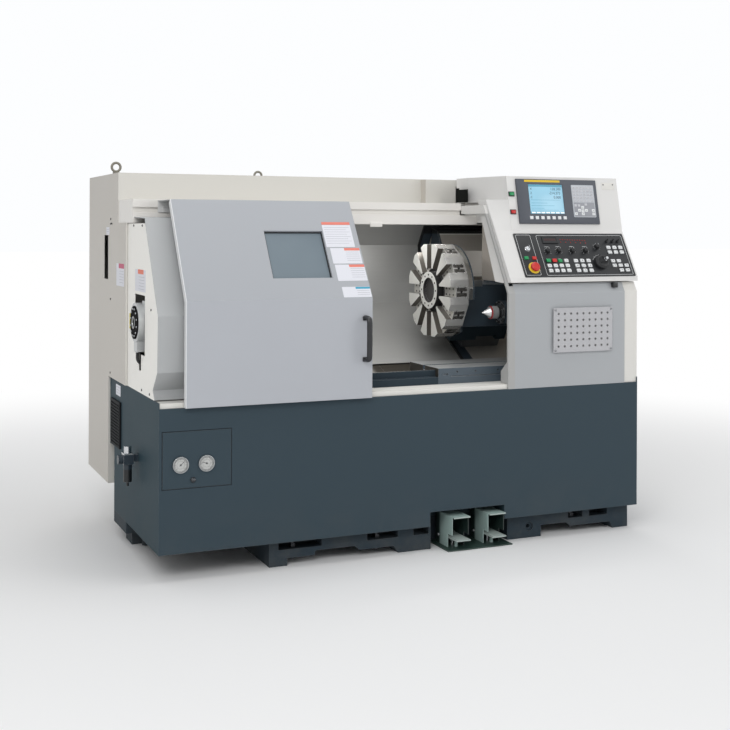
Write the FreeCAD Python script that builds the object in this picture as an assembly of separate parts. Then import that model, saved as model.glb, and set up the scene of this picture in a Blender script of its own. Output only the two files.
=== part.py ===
import FreeCAD, Part
import math
import os

# Slant-bed CNC turning lathe with sheet-metal guarding. Millimetres, +X to the right, +Y to the back,
# +Z up. While it is built, X = 0 is the left side plane, Y = 0 the front plane and Z = 0 the floor.
# At the end everything is moved so that the origin is the bottom centre of the whole machine's box.

V = FreeCAD.Vector
pieces = {}

# ------------------------------------------------------------------ driving dimensions
length = 2180.0             # left side plane to right side plane
sheet = 3.0                 # steel sheet of guards and cabinets
seam = 0.6                  # between sheets that pass each other
weld = 0.2                  # between panels that are welded edge to face
running = 0.05              # radial clearance of a shaft in its bore
slip = 0.5                  # clearance of sliding faces
seat_gap = 0.3              # between a piece and what carries it

# base
foot_height = 107.0         # floor to the lower edge of the base cabinet
base_top = 658.0
side_top = 681.0
base_depth = 804.0
side_depth = 894.0
side_step = 385.0           # above this height the sides reach back to side_depth
foot_front = 50.0
foot_back = base_depth - 14.0
foot_left = 457.0
foot_right = length - 15.0
block_bottom = 30.0         # underside of the small foot pads
arch_bottom = 48.0          # underside of the arches between them
left_foot_bottom = 58.0     # bar at the rear left, flush with the left side
left_foot_front = 560.0
left_pad = (34.0, 110.0)
notch_left = length - 1037.0         # pedal notch in the front
notch_right = length - 684.0
notch_height = 60.0
notch_depth = 172.0
recess_back = 170.0         # recess of the casting behind the notch

# rear cabinet and roof
rear_front = 547.0
rear_back = 1359.0
rear_bottom = 205.0
rear_proud = 9.0            # how far its left side stands out
roof = 1578.0
band_front = 704.0

# door track and canopy
canopy_front = 430.0
canopy_bottom = roof - 217.0
canopy_top = canopy_bottom + 98.0
canopy_left = -6.0
ceiling_back = 995.0
groove_low = canopy_bottom + 43.0
groove_high = canopy_bottom + 65.0
groove_depth = 12.0

# chamber
chamber_left = 450.0
jamb_left = length - 668.0
jamb_width = 13.0
cheek_depth = 12.0          # how far the jamb's inner flange reaches back
panel_left = length - 635.0
panel_right = length - 70.0

# spindle
axis_y = 325.0
axis_z = 962.0
bore_radius = 26.0
journal_radius = 55.0
headstock_left = 190.0
headstock_right = 430.0
plinth_top = 700.0
chuck_radius = 105.0
chuck_back = 466.0
chuck_length = 90.0
jaw_width = 38.0
jaw_key = 24.0
jaw_inner = 36.0
jaw_stroke = 4.0
jaw_length = 62.0
jaw_height = 44.0
pulley_left = 118.0
pulley_right = 180.0
spindle_pulley_radius = 90.0
motor_pulley_radius = 60.0
motor_y = 400.0
motor_z = 330.0
motor_radius = 110.0
belt_thickness = 8.0
cylinder_left = -24.0
cylinder_radius = 66.0

# slanted bed: u runs up the slope, n stands square to it, from the lower edge of the way guard
slant = math.radians(30)
guard_y = 600.0
guard_z = 720.0
guard_rise = 507.0          # length of the sloping stretch
guard_knee = (1075.0, canopy_bottom - 104.0)
guard_top = (1006.0, canopy_bottom - 3.0)
bed_plane = -115.0
way_height = 33.0
way_low = (40.0, 110.0)
way_high = (400.0, 470.0)
bed_left = 440.0
bed_right = length - 70.0
screw_u = 255.0
screw_n = -93.0
screw_radius = 14.0

# carriage
saddle_left = length - 620.0
saddle_right = saddle_left + 400.0
saddle_top = -16.0
neck_left = saddle_left + 92.0
neck_right = saddle_left + 294.0
neck_low = 100.0
neck_high = 360.0
neck_top = 60.0
guard_left = saddle_left + 60.0
guard_right = length - 20.0
left_cover_end = 1090.0
sliding_cover_left = 1010.0
right_cover_left = neck_right + 8.0
slide_left = saddle_left
slide_right = saddle_left + 300.0
slide_low = 70.0
slide_high = 300.0
slide_top = 200.0
ridge_height = 20.0
ridge = (saddle_left + 140.0, saddle_left + 246.0)

# turret
turret_reach = 194.5        # spindle axis to turret axis, up the slope
turret_left = saddle_left - 179.0
turret_thickness = 92.0
turret_radius = 218.0
stations = 12
slot_width = 44.0
slot_depth = 28.0
clamp_holes = (118.0, 152.0, 186.0)     # distance of the slot's bolt holes from the turret's axis
clamp_spacing = 26.0
hub_radius = 85.0
hub_bore = 57.0
hub_proud = 3.0
hub_gap = 18.0
shaft_radius = 60.0
body_front = 404.0
body_top = 1085.0
body_right = saddle_left + 220.0

# tailstock
way_left = length - 940.0
way_front = 120.0
way_back = 400.0
way_top = 745.0
shelf_top = 600.0
tail_left = length - 380.0
tail_right = length - 100.0
tail_radius = 75.0
nose_left = tail_left - 146.0
nose_radius = 52.0
quill_radius = 40.0
centre_tip = nose_left - 90.0
centre_radius = 30.0
centre_shank = 15.0

# front door
door_left = 96.0
door_width = 769.0
door_front = -28.0
door_bottom = 660.0
door_bend = 1064.0
door_top = (222.0, canopy_bottom + 94.0)
door_depth = 25.0
window_left = 460.0
window_width = 252.0
window_low = 95.0           # up the sloping face from the bend
window_height = 222.0
handle_left = 821.0
handle_width = 28.0
handle_low = 808.0
handle_high = 991.0
handle_reach = 48.0
handle_thickness = 20.0

# console
console_left = length - 654.0
console_body_left = length - 585.0
console_back = 380.0        # rear wall below the ceiling of the chamber
lip_low = roof - 466.0
lip_high = lip_low + 20.0
console_knee = (118.0, lip_high + 203.0)
console_top = (168.0, roof - 1.0)
panel_plate = 4.0
display_proud = 10.0
key_width = 20.0
key_depth = 15.0
key_proud = 5.0

# pedals
pedal_starts = (notch_left + 97.0, notch_left + 267.0)
pedal_width = 78.0
pedal_guard_height = 140.0
pedal_guard_front = -10.0
pedal_guard_back = 140.0
pedal_sheet = 2.5
tread_front = -40.0
tread_top = 47.0
tread_thickness = 5.0
pedal_pivot = (112.0, 40.0)
pin_radius = 5.0


# ------------------------------------------------------------------ shapes
def block(x, y, z):
    return Part.makeBox(x[1] - x[0], y[1] - y[0], z[1] - z[0], V(x[0], y[0], z[0]))


def prism(points, direction):
    return Part.Face(Part.makePolygon(points + points[:1])).extrude(direction)


def prism_x(outline, x0, x1):
    return prism([V(x0, y, z) for y, z in outline], V(x1 - x0, 0, 0))


def prism_y(outline, y0, y1):
    return prism([V(x, y0, z) for x, z in outline], V(0, y1 - y0, 0))


def prism_z(outline, z0, z1):
    return prism([V(x, y, z0) for x, y in outline], V(0, 0, z1 - z0))


def rod(start, direction, radius, size):
    return Part.makeCylinder(radius, size, V(*start), V(*direction))


def rod_x(x0, x1, y, z, radius):
    return rod((x0, y, z), (1, 0, 0), radius, x1 - x0)


def join(*shapes):
    return shapes[0].multiFuse(list(shapes[1:])).removeSplitter()


def turned(outline, y, z):
    """A solid turned about the X direction through (y, z) from (x, radius) points."""
    points = [V(x, y, z + radius) for x, radius in outline]
    face = Part.Face(Part.makePolygon(points + points[:1]))
    return face.revolve(V(0, y, z), V(1, 0, 0), 360)


def beside(line, distance):
    """The same folded line, set off to its left by the distance, with mitred corners."""
    normals = []
    for (y0, z0), (y1, z1) in zip(line, line[1:]):
        run = math.hypot(y1 - y0, z1 - z0)
        normals.append((-(z1 - z0) / run, (y1 - y0) / run))
    corners = [normals[0]]
    for (a, b), (c, d) in zip(normals, normals[1:]):
        share = 1 + a * c + b * d
        corners.append(((a + c) / share, (b + d) / share))
    corners.append(normals[-1])
    return [(y + distance * a, z + distance * b) for (y, z), (a, b) in zip(line, corners)]


def folded(line, thickness, x0, x1):
    """Sheet folded along a line of (y, z) points; the thickness goes to the line's left."""
    return prism_x(line + beside(line, thickness)[::-1], x0, x1)


def slope(u, n):
    """Y and Z of a point given up the slanted bed and square to it."""
    return (guard_y + u * math.cos(slant) - n * math.sin(slant),
            guard_z + u * math.sin(slant) + n * math.cos(slant))


def on_slope(x, u, n):
    corners = [slope(u[0], n[0]), slope(u[1], n[0]), slope(u[1], n[1]), slope(u[0], n[1])]
    return prism_x(corners, x[0], x[1])


def on_face(low, high, left=0.0):
    """A placement on a sloping front face: X across, Y up the face, Z out of it."""
    tilt = math.atan2(high[1] - low[1], high[0] - low[0])
    return FreeCAD.Placement(V(left, low[0], low[1]), FreeCAD.Rotation(V(1, 0, 0), math.degrees(tilt)))


def put(shape, placement):
    moved = shape.copy()
    moved.Placement = placement.multiply(moved.Placement)
    return moved


def keep(name, shape):
    pieces[name] = shape


guard_line = [guard_top, guard_knee, slope(guard_rise, 0), (guard_y, guard_z)]
cover_line = [(69.0, side_top + 2.5), (95.0, 718.0), (25.0, 792.0), (17.0, 1007.0), (245.0, canopy_bottom + 20.0),
              (canopy_front - 1, canopy_bottom + 25.0)]
door_line = [(door_front, door_bottom), (door_front, door_bend), door_top]
turret_y = axis_y + turret_reach * math.cos(slant)
turret_z = axis_z + turret_reach * math.sin(slant)
console_face = on_face((0.0, lip_high), console_knee, console_body_left - 1595)
display_face = on_face(console_knee, console_top, console_body_left - 1595)
door_face = on_face((door_front, door_bend), door_top)


# ------------------------------------------------------------------ bed and base
def bed_casting():
    outline = [(foot_left, foot_height), (foot_left, 0), (533, 0), (533, block_bottom), (649, block_bottom),
               (654, arch_bottom), (824, arch_bottom), (846, block_bottom), (1000, block_bottom), (1020, 0),
               (foot_right - 456, 0), (foot_right - 456, arch_bottom), (foot_right - 325, arch_bottom),
               (foot_right - 301, block_bottom), (foot_right - 94, block_bottom), (foot_right - 80, 0), (foot_right, 0), (foot_right, foot_height)]
    frame = prism_y(outline, foot_front, foot_back)
    for x in ((560, 1000), (1100, foot_right - 525), (foot_right - 435, foot_right - 105)):
        frame = frame.cut(block(x, (250, 600), (-1, foot_height + 1)))
    for x in bolt_pockets():
        frame = frame.cut(block(x, (foot_front - 1, 130), (65, foot_height + 1)))
        frame = frame.cut(block(x, (foot_back - 80, foot_back + 1), (65, foot_height + 1)))
    recess = block((notch_left + 27, notch_right + 44), (foot_front - 1, recess_back), (-1, foot_height + 1))
    frame = frame.cut(recess)
    frame = frame.cut(rod((foot_right - 517, foot_front - 1, 49), (0, 1, 0), 20, 9))
    frame = frame.cut(rod((foot_right - 517, foot_front - 1, 49), (0, 1, 0), 9, 50))
    left_foot = block((0, foot_left), (left_foot_front, base_depth), (left_foot_bottom, foot_height))
    pad = block(left_pad, (left_foot_front + 40, left_foot_front + 155), (0, left_foot_bottom))
    round_pad = rod(((left_pad[0] + left_pad[1]) / 2 + 13, left_foot_front + 15, 0), (0, 0, 1), 14, left_foot_bottom)
    low_front = slope(way_low[0] - 60, bed_plane)
    high_back = slope(way_high[1] + 10, bed_plane)
    section = [(560, foot_height), (foot_back, foot_height), (foot_back, 420), (high_back[0], 600),
               high_back, low_front, (560, low_front[1] - 40)]
    slant_body = prism_x(section, bed_left, bed_right)
    plinth = block((headstock_left, bed_left), (200, side_depth - 14), (600, plinth_top))
    plinth_web = block((headstock_left, bed_left), (560, base_depth - sheet - 1), (foot_height, 600))
    walls = [block((bed_left, bed_left + 40), (140, 580), (foot_height, 640)),
             block((way_left - 40, way_left), (180, 560), (foot_height, shelf_top)),
             block((bed_right - 40, bed_right), (140, 560), (foot_height, shelf_top))]
    shelf = block((way_left, bed_right), (140, 562), (shelf_top - 40, shelf_top))
    lip = block((chamber_left + 1, way_left), (150, 165), (480, 735))
    lip_foot = block((chamber_left + 1, way_left), (way_front, 165), (480, 708))
    ways = [on_slope((bed_left, bed_right), u, (bed_plane - 1, bed_plane + way_height))
            for u in (way_low, way_high)]
    bearings = []
    for x in (bed_left + 30, bed_right - 60):
        mount = on_slope((x, x + 40), (screw_u - 30, screw_u + 30), (bed_plane - 1, screw_n + 25))
        y, z = slope(screw_u, screw_n)
        bearings.append(mount.cut(rod_x(x - 1, x + 41, y, z, screw_radius + running)))
    body = join(frame, left_foot, pad, round_pad, slant_body, plinth, plinth_web, shelf, lip, lip_foot,
                *walls, *ways, *bearings)
    for x, y in bolt_places():
        body = body.cut(rod((x, y, -1), (0, 0, 1), 10, foot_height))
    keep("bed_casting", body)


def bolt_pockets():
    return ((495, 680), (880, 1018), (1090, 1160), (foot_right - 315, foot_right - 240), (foot_right - 205, foot_right - 110))


def bolt_places():
    return [(x, y) for x in (566, 936, foot_right - 280) for y in (foot_front + 40, foot_back - 40)]


def levelling_bolts():
    bolts = []
    for x, y in bolt_places():
        nut = [(x + 16 * math.cos(a * math.pi / 3), y + 16 * math.sin(a * math.pi / 3)) for a in range(6)]
        bolts.append(join(rod((x, y, 16), (0, 0, 1), 10, 80), prism_z(nut, 65, 78)))
    keep("levelling_bolts", Part.makeCompound(bolts))


def base_cabinet():
    side = [(0, foot_height), (base_depth, foot_height), (base_depth, side_step), (side_depth, side_step),
            (side_depth, side_top), (0, side_top)]
    left = prism_x(side, 0, sheet)
    right = prism_x(side, length - sheet, length)
    front = block((0, length), (0, sheet), (foot_height, base_top))
    back = block((0, length), (base_depth - sheet, base_depth), (foot_height, side_step))
    top_fold = block((0, length), (0, 60), (base_top - sheet, base_top))
    low_fold = block((0, length), (0, 40), (foot_height, foot_height + sheet))
    body = join(left, right, front, back, top_fold, low_fold)
    body = body.cut(block((notch_left, notch_right), (-1, 60), (0, foot_height + notch_height)))
    pocket = block((notch_left - sheet, notch_right + sheet), (0, notch_depth + sheet),
                   (foot_height, foot_height + notch_height + sheet))
    pocket = pocket.cut(block((notch_left, notch_right), (-1, notch_depth), (0, foot_height + notch_height)))
    hatch = block((hatch_left - 1, hatch_left + hatch_width + 1), (-1, sheet + 1),
                  (hatch_bottom - 1, hatch_bottom + hatch_height + 1))
    keep("base_cabinet", join(body, pocket).cut(hatch))


hatch_left = 15.0
hatch_width = 268.0
hatch_bottom = 355.0
hatch_height = 214.0
gauge_places = ((84.0, 444.0), (185.0, 444.0))
gauge_radius = 31.0


def gauge_hatch():
    panel = block((hatch_left, hatch_left + hatch_width), (0, sheet), (hatch_bottom, hatch_bottom + hatch_height))
    for x, z in gauge_places:
        panel = panel.cut(rod((x, -1, z), (0, 1, 0), gauge_radius - 3, sheet + 2))
    across, top = (hatch_left + 40, hatch_left + hatch_width - 40), hatch_bottom + hatch_height
    hinge = join(block(across, (sheet, sheet + 6), (top - 12, top - 1)),
                 block(across, (sheet + seat_gap, sheet + 6), (top - 2, top + 9)))
    latch = rod((133, -6, 384), (0, 1, 0), 9, 6)
    cam = block((128, 138), (sheet, sheet + 3), (hatch_bottom + 2, 390))
    stem = rod((133, -1, 384), (0, 1, 0), 4, sheet + 2)
    keep("gauge_hatch", join(panel, hinge, latch, cam, stem))
    gauges = []
    for x, z in gauge_places:
        bezel = rod((x, -8, z), (0, 1, 0), gauge_radius, 8)
        bezel = bezel.cut(rod((x, -9, z), (0, 1, 0), gauge_radius - 5, 5))
        case = rod((x, 0, z), (0, 1, 0), gauge_radius - 3, 30)
        stub = rod((x, 30, z), (0, 1, 0), 7, 14)
        gauges.append(join(bezel, case, stub))
    keep("pressure_gauges", Part.makeCompound(gauges))


def coolant_tank():
    x, y, z = (500, way_left - 120), (185, 545), (foot_height, 330)
    tank = block(x, y, z)
    inner = block((x[0] + sheet, x[1] - sheet), (y[0] + sheet, y[1] - sheet), (z[0] + sheet, z[1] + 1))
    rim = block((x[0] - 10, x[1] + 10), (y[0] - 10, y[1] + 10), (z[1] - sheet, z[1]))
    keep("coolant_tank", join(tank, rim).cut(inner))


def chip_trough():
    start = [slope(30, -7.2 - sheet - seam), slope(-10, -7.2 - sheet - seam), (430, 650)]
    left_part = folded(start + [(200, 650), (168, 735)], sheet, chamber_left, way_left - 1)
    across = (way_left - 240, way_left - 60)
    outlet = block(across, (240, 400), (600, 700))
    right_part = folded(start + [(way_back + 0.4, 650)], sheet, way_left - 2, length - sheet - 1)
    seams = [block((x, x + weld), (100, 700), (600, 1300)) for x in (across[0] - weld, across[1])]
    keep("chip_trough", join(left_part, right_part).cut(Part.Compound([outlet] + seams)))


def tailstock_way():
    body = block((way_left, bed_right), (way_front, way_back), (shelf_top, way_top))
    body = body.cut(block((way_left - 1, bed_right + 1), (250, 270), (way_top - 20, way_top + 1)))
    body = body.cut(block((way_left + 60, bed_right + 1), (way_front - 1, way_front + 4), (708, 711)))
    body = body.cut(block((way_left + 20, way_left + 45), (way_front - 1, way_front + 6), (717, 722)))
    for x in (way_left + 90, way_left + 180, way_left + 290):
        body = body.cut(rod((x, way_front - 1, 728), (0, 1, 0), 4, 12))
    hollow = block((way_left + 40, bed_right + 1), (way_front + 40, way_back - 40), (shelf_top - 1, way_top - 45))
    keep("tailstock_way", body.cut(hollow))


# ------------------------------------------------------------------ guarding
def sill():
    strip = block((sheet + 0.4, panel_left), (8, way_front - 1), (base_top, base_top + 20))
    hollow = block((sheet - 1, panel_left + 1), (20, way_front - 13), (base_top - 1, base_top + 17))
    keep("sill", strip.cut(hollow))


def left_front_cover():
    keep("left_front_cover", folded(cover_line, -sheet, 0, door_left + door_width - 3))


def left_side_cover():
    inner = beside(cover_line, -sheet - 0.4)
    outline = inner[:4] + [(cut_at(inner[3], inner[4], canopy_bottom - 2), canopy_bottom - 2),
                           (rear_front - 0.4, canopy_bottom - 2), (rear_front - 0.4, inner[0][1])]
    panel = prism_x(outline, 0, sheet)
    panel = panel.cut(block((-1, sheet + 1), (234, 412), (835, 1073)))
    panel = panel.cut(block((-1, sheet + 1), (298, 338), (770, 840)))
    keep("left_side_cover", panel)


def cut_at(low, high, z):
    return low[0] + (high[0] - low[0]) * (z - low[1]) / (high[1] - low[1])


def door_track():
    line = [(ceiling_back, canopy_bottom), (canopy_front, canopy_bottom), (canopy_front, groove_low),
            (canopy_front + groove_depth, groove_low), (canopy_front + groove_depth, groove_high),
            (canopy_front, groove_high), (canopy_front, canopy_top), (band_front, canopy_top)]
    canopy = folded(line, -sheet, canopy_left, jamb_left)
    lower_edge = folded([(canopy_front + 120 - weld, canopy_bottom)] + line[1:4], -sheet, jamb_left + weld,
                        console_body_left - 1)
    ends = []
    for x in (canopy_left, jamb_left - sheet):
        end = block((x, x + sheet), (canopy_front, band_front), (canopy_bottom, canopy_top))
        notch = block((x - 1, x + sheet + 1), (canopy_front - 1, canopy_front + groove_depth), (groove_low, groove_high))
        ends.append(end.cut(notch))
    ceiling = block((jamb_left - 1, length - sheet), (canopy_front + 120, ceiling_back),
                    (canopy_bottom, canopy_bottom + sheet))
    keep("door_track", Part.Compound([join(canopy, ceiling, *ends), lower_edge]))


def rear_cabinet():
    left_side = [(rear_front, side_top), (side_depth, side_top), (side_depth, rear_bottom),
                 (rear_back, rear_bottom), (rear_back, roof), (band_front, roof),
                 (band_front, canopy_bottom), (rear_front, canopy_bottom)]
    right_side = left_side[:5] + [(rear_front, roof)]
    x0 = -rear_proud
    across = (x0 + sheet + weld, length - sheet - weld)
    inside = rear_back - sheet - weld
    left = prism_x(left_side, x0, x0 + sheet)
    left_fold = block((x0 + sheet - 0.1, -0.4), (rear_front, rear_front + sheet), (side_top, canopy_bottom))
    slot = block((x0 - 1, x0 + sheet + 1), (side_depth + 17, side_depth + 109), (roof - 467, roof - 271))
    right = prism_x(right_side, length - sheet, length)
    back = block(across, (rear_back - sheet, rear_back), (rear_bottom, roof))
    back = back.cut(block(cabinet_opening_x, (rear_back - sheet - 1, rear_back + 1), cabinet_opening_z))
    top = block(across, (band_front + sheet + weld, inside), (roof - sheet, roof))
    band = block(across, (band_front, band_front + sheet), (canopy_top, roof))
    band = band.cut(block((junction_right + 1, junction_right + 110), (band_front - 1, band_front + sheet + 1),
                          (canopy_top + 3, roof - 33)))
    bottom = block(across, (side_depth, inside), (rear_bottom, rear_bottom + sheet))
    bottom = bottom.cut(rod((300, 1200, rear_bottom - 1), (0, 0, 1), cable_inlet_radius, sheet + 2))
    front = block(across, (side_depth, side_depth + sheet), (rear_bottom + sheet + weld, 470))
    front_left = block((across[0], headstock_right), (side_depth, side_depth + sheet), (469, side_top))
    junction = block((junction_left, junction_right), (band_front - 54, band_front - weld),
                     (canopy_top + 3, roof - sheet))
    panels = [join(left.cut(slot), left_fold), right, back, top, band, bottom, join(front, front_left), junction]
    keep("rear_cabinet", Part.makeCompound(panels))


cabinet_opening_x = (length - 920.0, length - 240.0)
cabinet_opening_z = (350.0, roof - 228.0)
junction_left = console_body_left - 155.0
junction_right = console_body_left + 5.0
cable_inlet_radius = 25.0


def cabinet_door():
    x, z = cabinet_opening_x, cabinet_opening_z
    margin = 20.0
    back = rear_back + slip
    outer = block((x[0] - margin, x[1] + margin), (back, back + 20), (z[0] - margin, z[1] + margin))
    inner = block((x[0] - margin + sheet, x[1] + margin - sheet), (back - 1, back + 20 - sheet),
                  (z[0] - margin + sheet, z[1] + margin - sheet))
    middle = (z[0] + z[1]) / 2
    stay = block((x[0], x[0] + 30), (back, back + 19), (middle - 10, middle + 10))
    lock = rod((x[1] - 20, back + 20, middle), (0, 1, 0), 16, 8)
    lever = block((x[1] - 28, x[1] - 12), (back + 28, back + 34), (middle - 90, middle + 20))
    knuckles = [rod((x[0] - margin, back + 20, height), (0, 0, 1), 5, 80) for height in (z[0] + 60, z[1] - 140)]
    keep("cabinet_door", join(outer.cut(inner), stay, lock, lever, *knuckles))


def right_front_cover():
    slope_top = (23.5, lip_low - 5)
    panel = folded([(0, base_top), (0, lip_low - 46), slope_top], -sheet, panel_left, panel_right)
    jamb_line = [(0, base_top), (0, lip_low - 46), (222, canopy_bottom + 87)]
    jamb = folded(jamb_line, -sheet, jamb_left, jamb_left + jamb_width)
    filler = folded([(0, base_top), (0, lip_low - 46), (18, lip_low - 15)], -sheet, jamb_left, panel_left + 1)
    arm_low = canopy_bottom + 48
    arm_front = 222 - (canopy_bottom + 87 - arm_low) * 222 / (canopy_bottom + 87 - lip_low + 46)
    cheek = prism_x(jamb_line + [(canopy_front - 1, canopy_bottom + 87), (canopy_front - 1, arm_low),
                                 (arm_front + cheek_depth, arm_low), (cheek_depth, lip_low - 46), (cheek_depth, 772),
                                 (62, 729), (62, 680), (7, 680), (7, base_top)], jamb_left, jamb_left + sheet)
    keep("right_front_cover", join(panel, jamb, filler, cheek))


def right_side_cover():
    front = folded([(5, base_top), (5, lip_low - 46), (30, lip_low - 4)], -sheet, panel_right, length - sheet)
    side = prism_x([(5, side_top), (5, lip_low - 46), (30, lip_low - 4), (rear_front - 0.4, lip_low - 4),
                    (rear_front - 0.4, side_top)],
                   length - sheet - 0.1, length)
    keep("right_side_cover", join(front, side))


def headstock_bulkhead():
    front = beside(cover_line, -sheet - 1)
    rear = beside(guard_line, 14)
    outline = front[1:5] + [(canopy_front - 1, front[5][1]), (canopy_front - 1, canopy_bottom - 1),
                            (guard_top[0] + 8, canopy_bottom - 1)] + rear[1:] + [(430, 645), (200, 645)]
    plate = prism_x(outline, chamber_left - sheet, chamber_left)
    keep("headstock_bulkhead", plate.cut(rod_x(chamber_left - 5, chamber_left + 1, axis_y, axis_z, 95)))


def console_housing():
    outer_line = [(75, lip_low - 4), (0, lip_low), (0, lip_high), console_knee, console_top,
                  (rear_front - 0.5, console_top[1]), (rear_front - 0.5, canopy_bottom + 9),
                  (console_back, canopy_bottom + 9), (console_back, lip_low - 4)]
    inner_line = beside(outer_line[:5], -sheet)
    inner_line = inner_line + [(rear_front + 9, console_top[1] - sheet), (rear_front + 9, canopy_bottom + 9 + sheet),
                               (console_back - sheet, canopy_bottom + 9 + sheet), (console_back - sheet, lip_low - 1)]
    inner_line[4] = (inner_line[4][0], console_top[1] - sheet)
    inner_line[0] = (inner_line[0][0], lip_low - 1)
    body = prism_x(outer_line, console_body_left, length)
    body = body.cut(prism_x(inner_line, console_body_left + sheet, length - sheet))
    far_top = canopy_bottom + 111
    wing_far = [(75, lip_low - 4), (0, lip_low), (12.5, lip_high), (139, console_knee[1]), (225, far_top),
                (300, far_top), (140, lip_low)]
    wing_near = [(75, lip_low - 4), (0, lip_low), (0, lip_high), console_knee, (146, far_top), (300, far_top),
                 (140, lip_low)]
    wires = []
    for x, outline in ((console_left, wing_far), (console_body_left + 1, wing_near)):
        points = [V(x, y, z) for y, z in outline]
        wires.append(Part.makePolygon(points + points[:1]))
    wing = Part.makeLoft(wires, True, True)
    corner = [(console_body_left + 4, 150), (console_left + 24, canopy_front), (console_left + 24, rear_front - 0.5),
              (console_body_left + 4, rear_front - 0.5)]
    cheek = prism_z(corner, canopy_bottom + 101, console_top[1])
    front_slice = prism_x([(0, canopy_top - 4), (console_knee[0] + 25, canopy_top - 4), console_top, (0, console_top[1])],
                          console_left - 26, console_left + 174)
    body = join(body, wing, cheek.cut(front_slice))
    for hole in stem_holes():
        body = body.cut(put(hole, console_face))
    keep("console_housing", body)


# places on the sloping key panel: across, up the face
panel_across = (1596.0, 2170.0)
panel_up = (2.0, 218.0)
main_keys = [(1732 + 31 * i, 80 - 24.5 * j) for j in range(3) for i in range(4)]
side_keys = [(1875 + 33 * i, 79 - 24.5 * j) for j in range(3) for i in range(3)]
upper_keys = [(2070 + 32 * i, 145 - 24 * j) for j in range(2) for i in range(3)]
corner_keys = [(2071, 77), (2102, 77), (2072, 54), (2104, 54), (2136, 54), (2102, 30), (2134, 30)]
knob_places = [(1745, 129), (1803, 130), (1873, 130), (1942, 130), (2009, 149)]
toggle_places = [(2071, 178), (2102, 178), (2131, 178)]
start_place = main_keys[0]
hold_place = main_keys[1]
stop_place = (1651.0, 46.0)
wheel_place = (2004.0, 69.0)
stop_ring = 26.0
stop_stem = 11.0
wheel_shaft = 8.0
button_stem = (15.0, 10.0)
press = 2.5                 # travel of the push buttons


def cap(place, base):
    x, s = place
    return block((x - key_width / 2, x + key_width / 2), (s - key_depth / 2, s + key_depth / 2),
                 (base, base + key_proud))


def stem_holes():
    """Holes through the panel plate and the housing's sheet for what turns or is pushed."""
    depth = (-sheet - 6, panel_plate + 1)
    holes = [rod((*stop_place, depth[0]), (0, 0, 1), stop_stem + slip, depth[1] - depth[0]),
             rod((*wheel_place, depth[0]), (0, 0, 1), wheel_shaft + running, depth[1] - depth[0])]
    across, up = button_stem[0] / 2 + slip, button_stem[1] / 2 + slip
    for x, s in (start_place, hold_place):
        holes.append(block((x - across, x + across), (s - up, s + up), depth))
    return holes


def key_panel():
    top = panel_plate
    plate = block(panel_across, panel_up, (0, top))
    for hole in stem_holes():
        plate = plate.cut(hole)
    fixed_keys = main_keys[2:] + side_keys + upper_keys + corner_keys
    solids = [cap(place, top) for place in fixed_keys]
    solids += [rod((x, s, top), (0, 0, 1), 11, 16) for x, s in knob_places]
    for x, s in toggle_places:
        solids.append(rod((x, s, top), (0, 0, 1), 7, 3))
        solids.append(rod((x, s, top + 2), (0, 0.35, 1), 3, 15))
    solids.append(rod((1645, 140, top), (0, 0, 1), 10, 8))
    solids.append(cap((1626, 95), top))
    solids.append(cap((1666, 94), top))
    ring = rod((stop_place[0], stop_place[1], top), (0, 0, 1), stop_ring, 2)
    solids.append(ring.cut(rod((stop_place[0], stop_place[1], top - 1), (0, 0, 1), stop_stem + slip, 4)))
    keep("key_panel", put(join(plate, *solids), console_face))


def panel_controls():
    top = panel_plate
    x, s = stop_place
    stem = rod((x, s, -2), (0, 0, 1), stop_stem, 18)
    head = join(rod((x, s, top + 8), (0, 0, 1), 20, 10), stem)
    crown = Part.makeCone(20, 13, 4, V(x, s, top + 18), V(0, 0, 1))
    keep("e_stop", put(join(head, crown), console_face))
    x, s = wheel_place
    wheel = rod((x, s, top + 0.6), (0, 0, 1), 33, 12)
    shaft = rod((x, s, -sheet), (0, 0, 1), wheel_shaft, sheet + top + 2)
    skirt = Part.makeCone(33, 27, 8, V(x, s, top + 12.6), V(0, 0, 1))
    crank = rod((x + 17, s + 8, top + 18), (0, 0, 1), 6, 14)
    keep("handwheel", put(join(wheel, shaft, skirt, crank), console_face))
    for name, (x, s) in (("cycle_start", start_place), ("feed_hold", hold_place)):
        across, up = button_stem[0] / 2, button_stem[1] / 2
        stem = block((x - across, x + across), (s - up, s + up), (-2, top + press + 1))
        button = join(cap((x, s), top + press + 0.5), stem)
        keep(name, put(button, console_face))


def display_unit():
    bezel = block((1639, 2058), (31, 233), (0, display_proud))
    bezel = bezel.cut(block((1698, 1876), (75, 210), (display_proud - 3, display_proud + 1)))
    solids = [block((1699 + 29 * i - 8, 1699 + 29 * i + 8), (50, 64), (display_proud, display_proud + 2))
              for i in range(7)]
    solids.append(block((1922, 2040), (61, 209), (display_proud, display_proud + 1.5)))
    for x, s in ((1613, 165), (1613, 84)):
        solids.append(block((x - 13, x + 13), (s - 9, s + 9), (0, 6)))
    unit = Part.makeCompound([join(bezel, *solids[:8])] + solids[8:])
    keep("display_unit", put(unit, display_face))


def perforated_plate():
    x, z = (panel_left + 187.0, panel_left + 493.0), (806.0, 1000.0)
    columns, rows, margin, hole = 9, 6, 26.0, 4.0
    plate = block(x, (-10, -8), z)
    for i in range(columns):
        for j in range(rows):
            across = x[0] + margin + i * (x[1] - x[0] - 2 * margin) / (columns - 1)
            up = z[0] + margin + j * (z[1] - z[0] - 2 * margin) / (rows - 1)
            plate = plate.cut(rod((across, -11, up), (0, 1, 0), hole, 4))
    posts = [rod((px, -12, pz), (0, 1, 0), 5, 12) for px in (x[0] + 9, x[1] - 9) for pz in (z[0] + 9, z[1] - 9)]
    keep("perforated_plate", join(plate, *posts))


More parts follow.
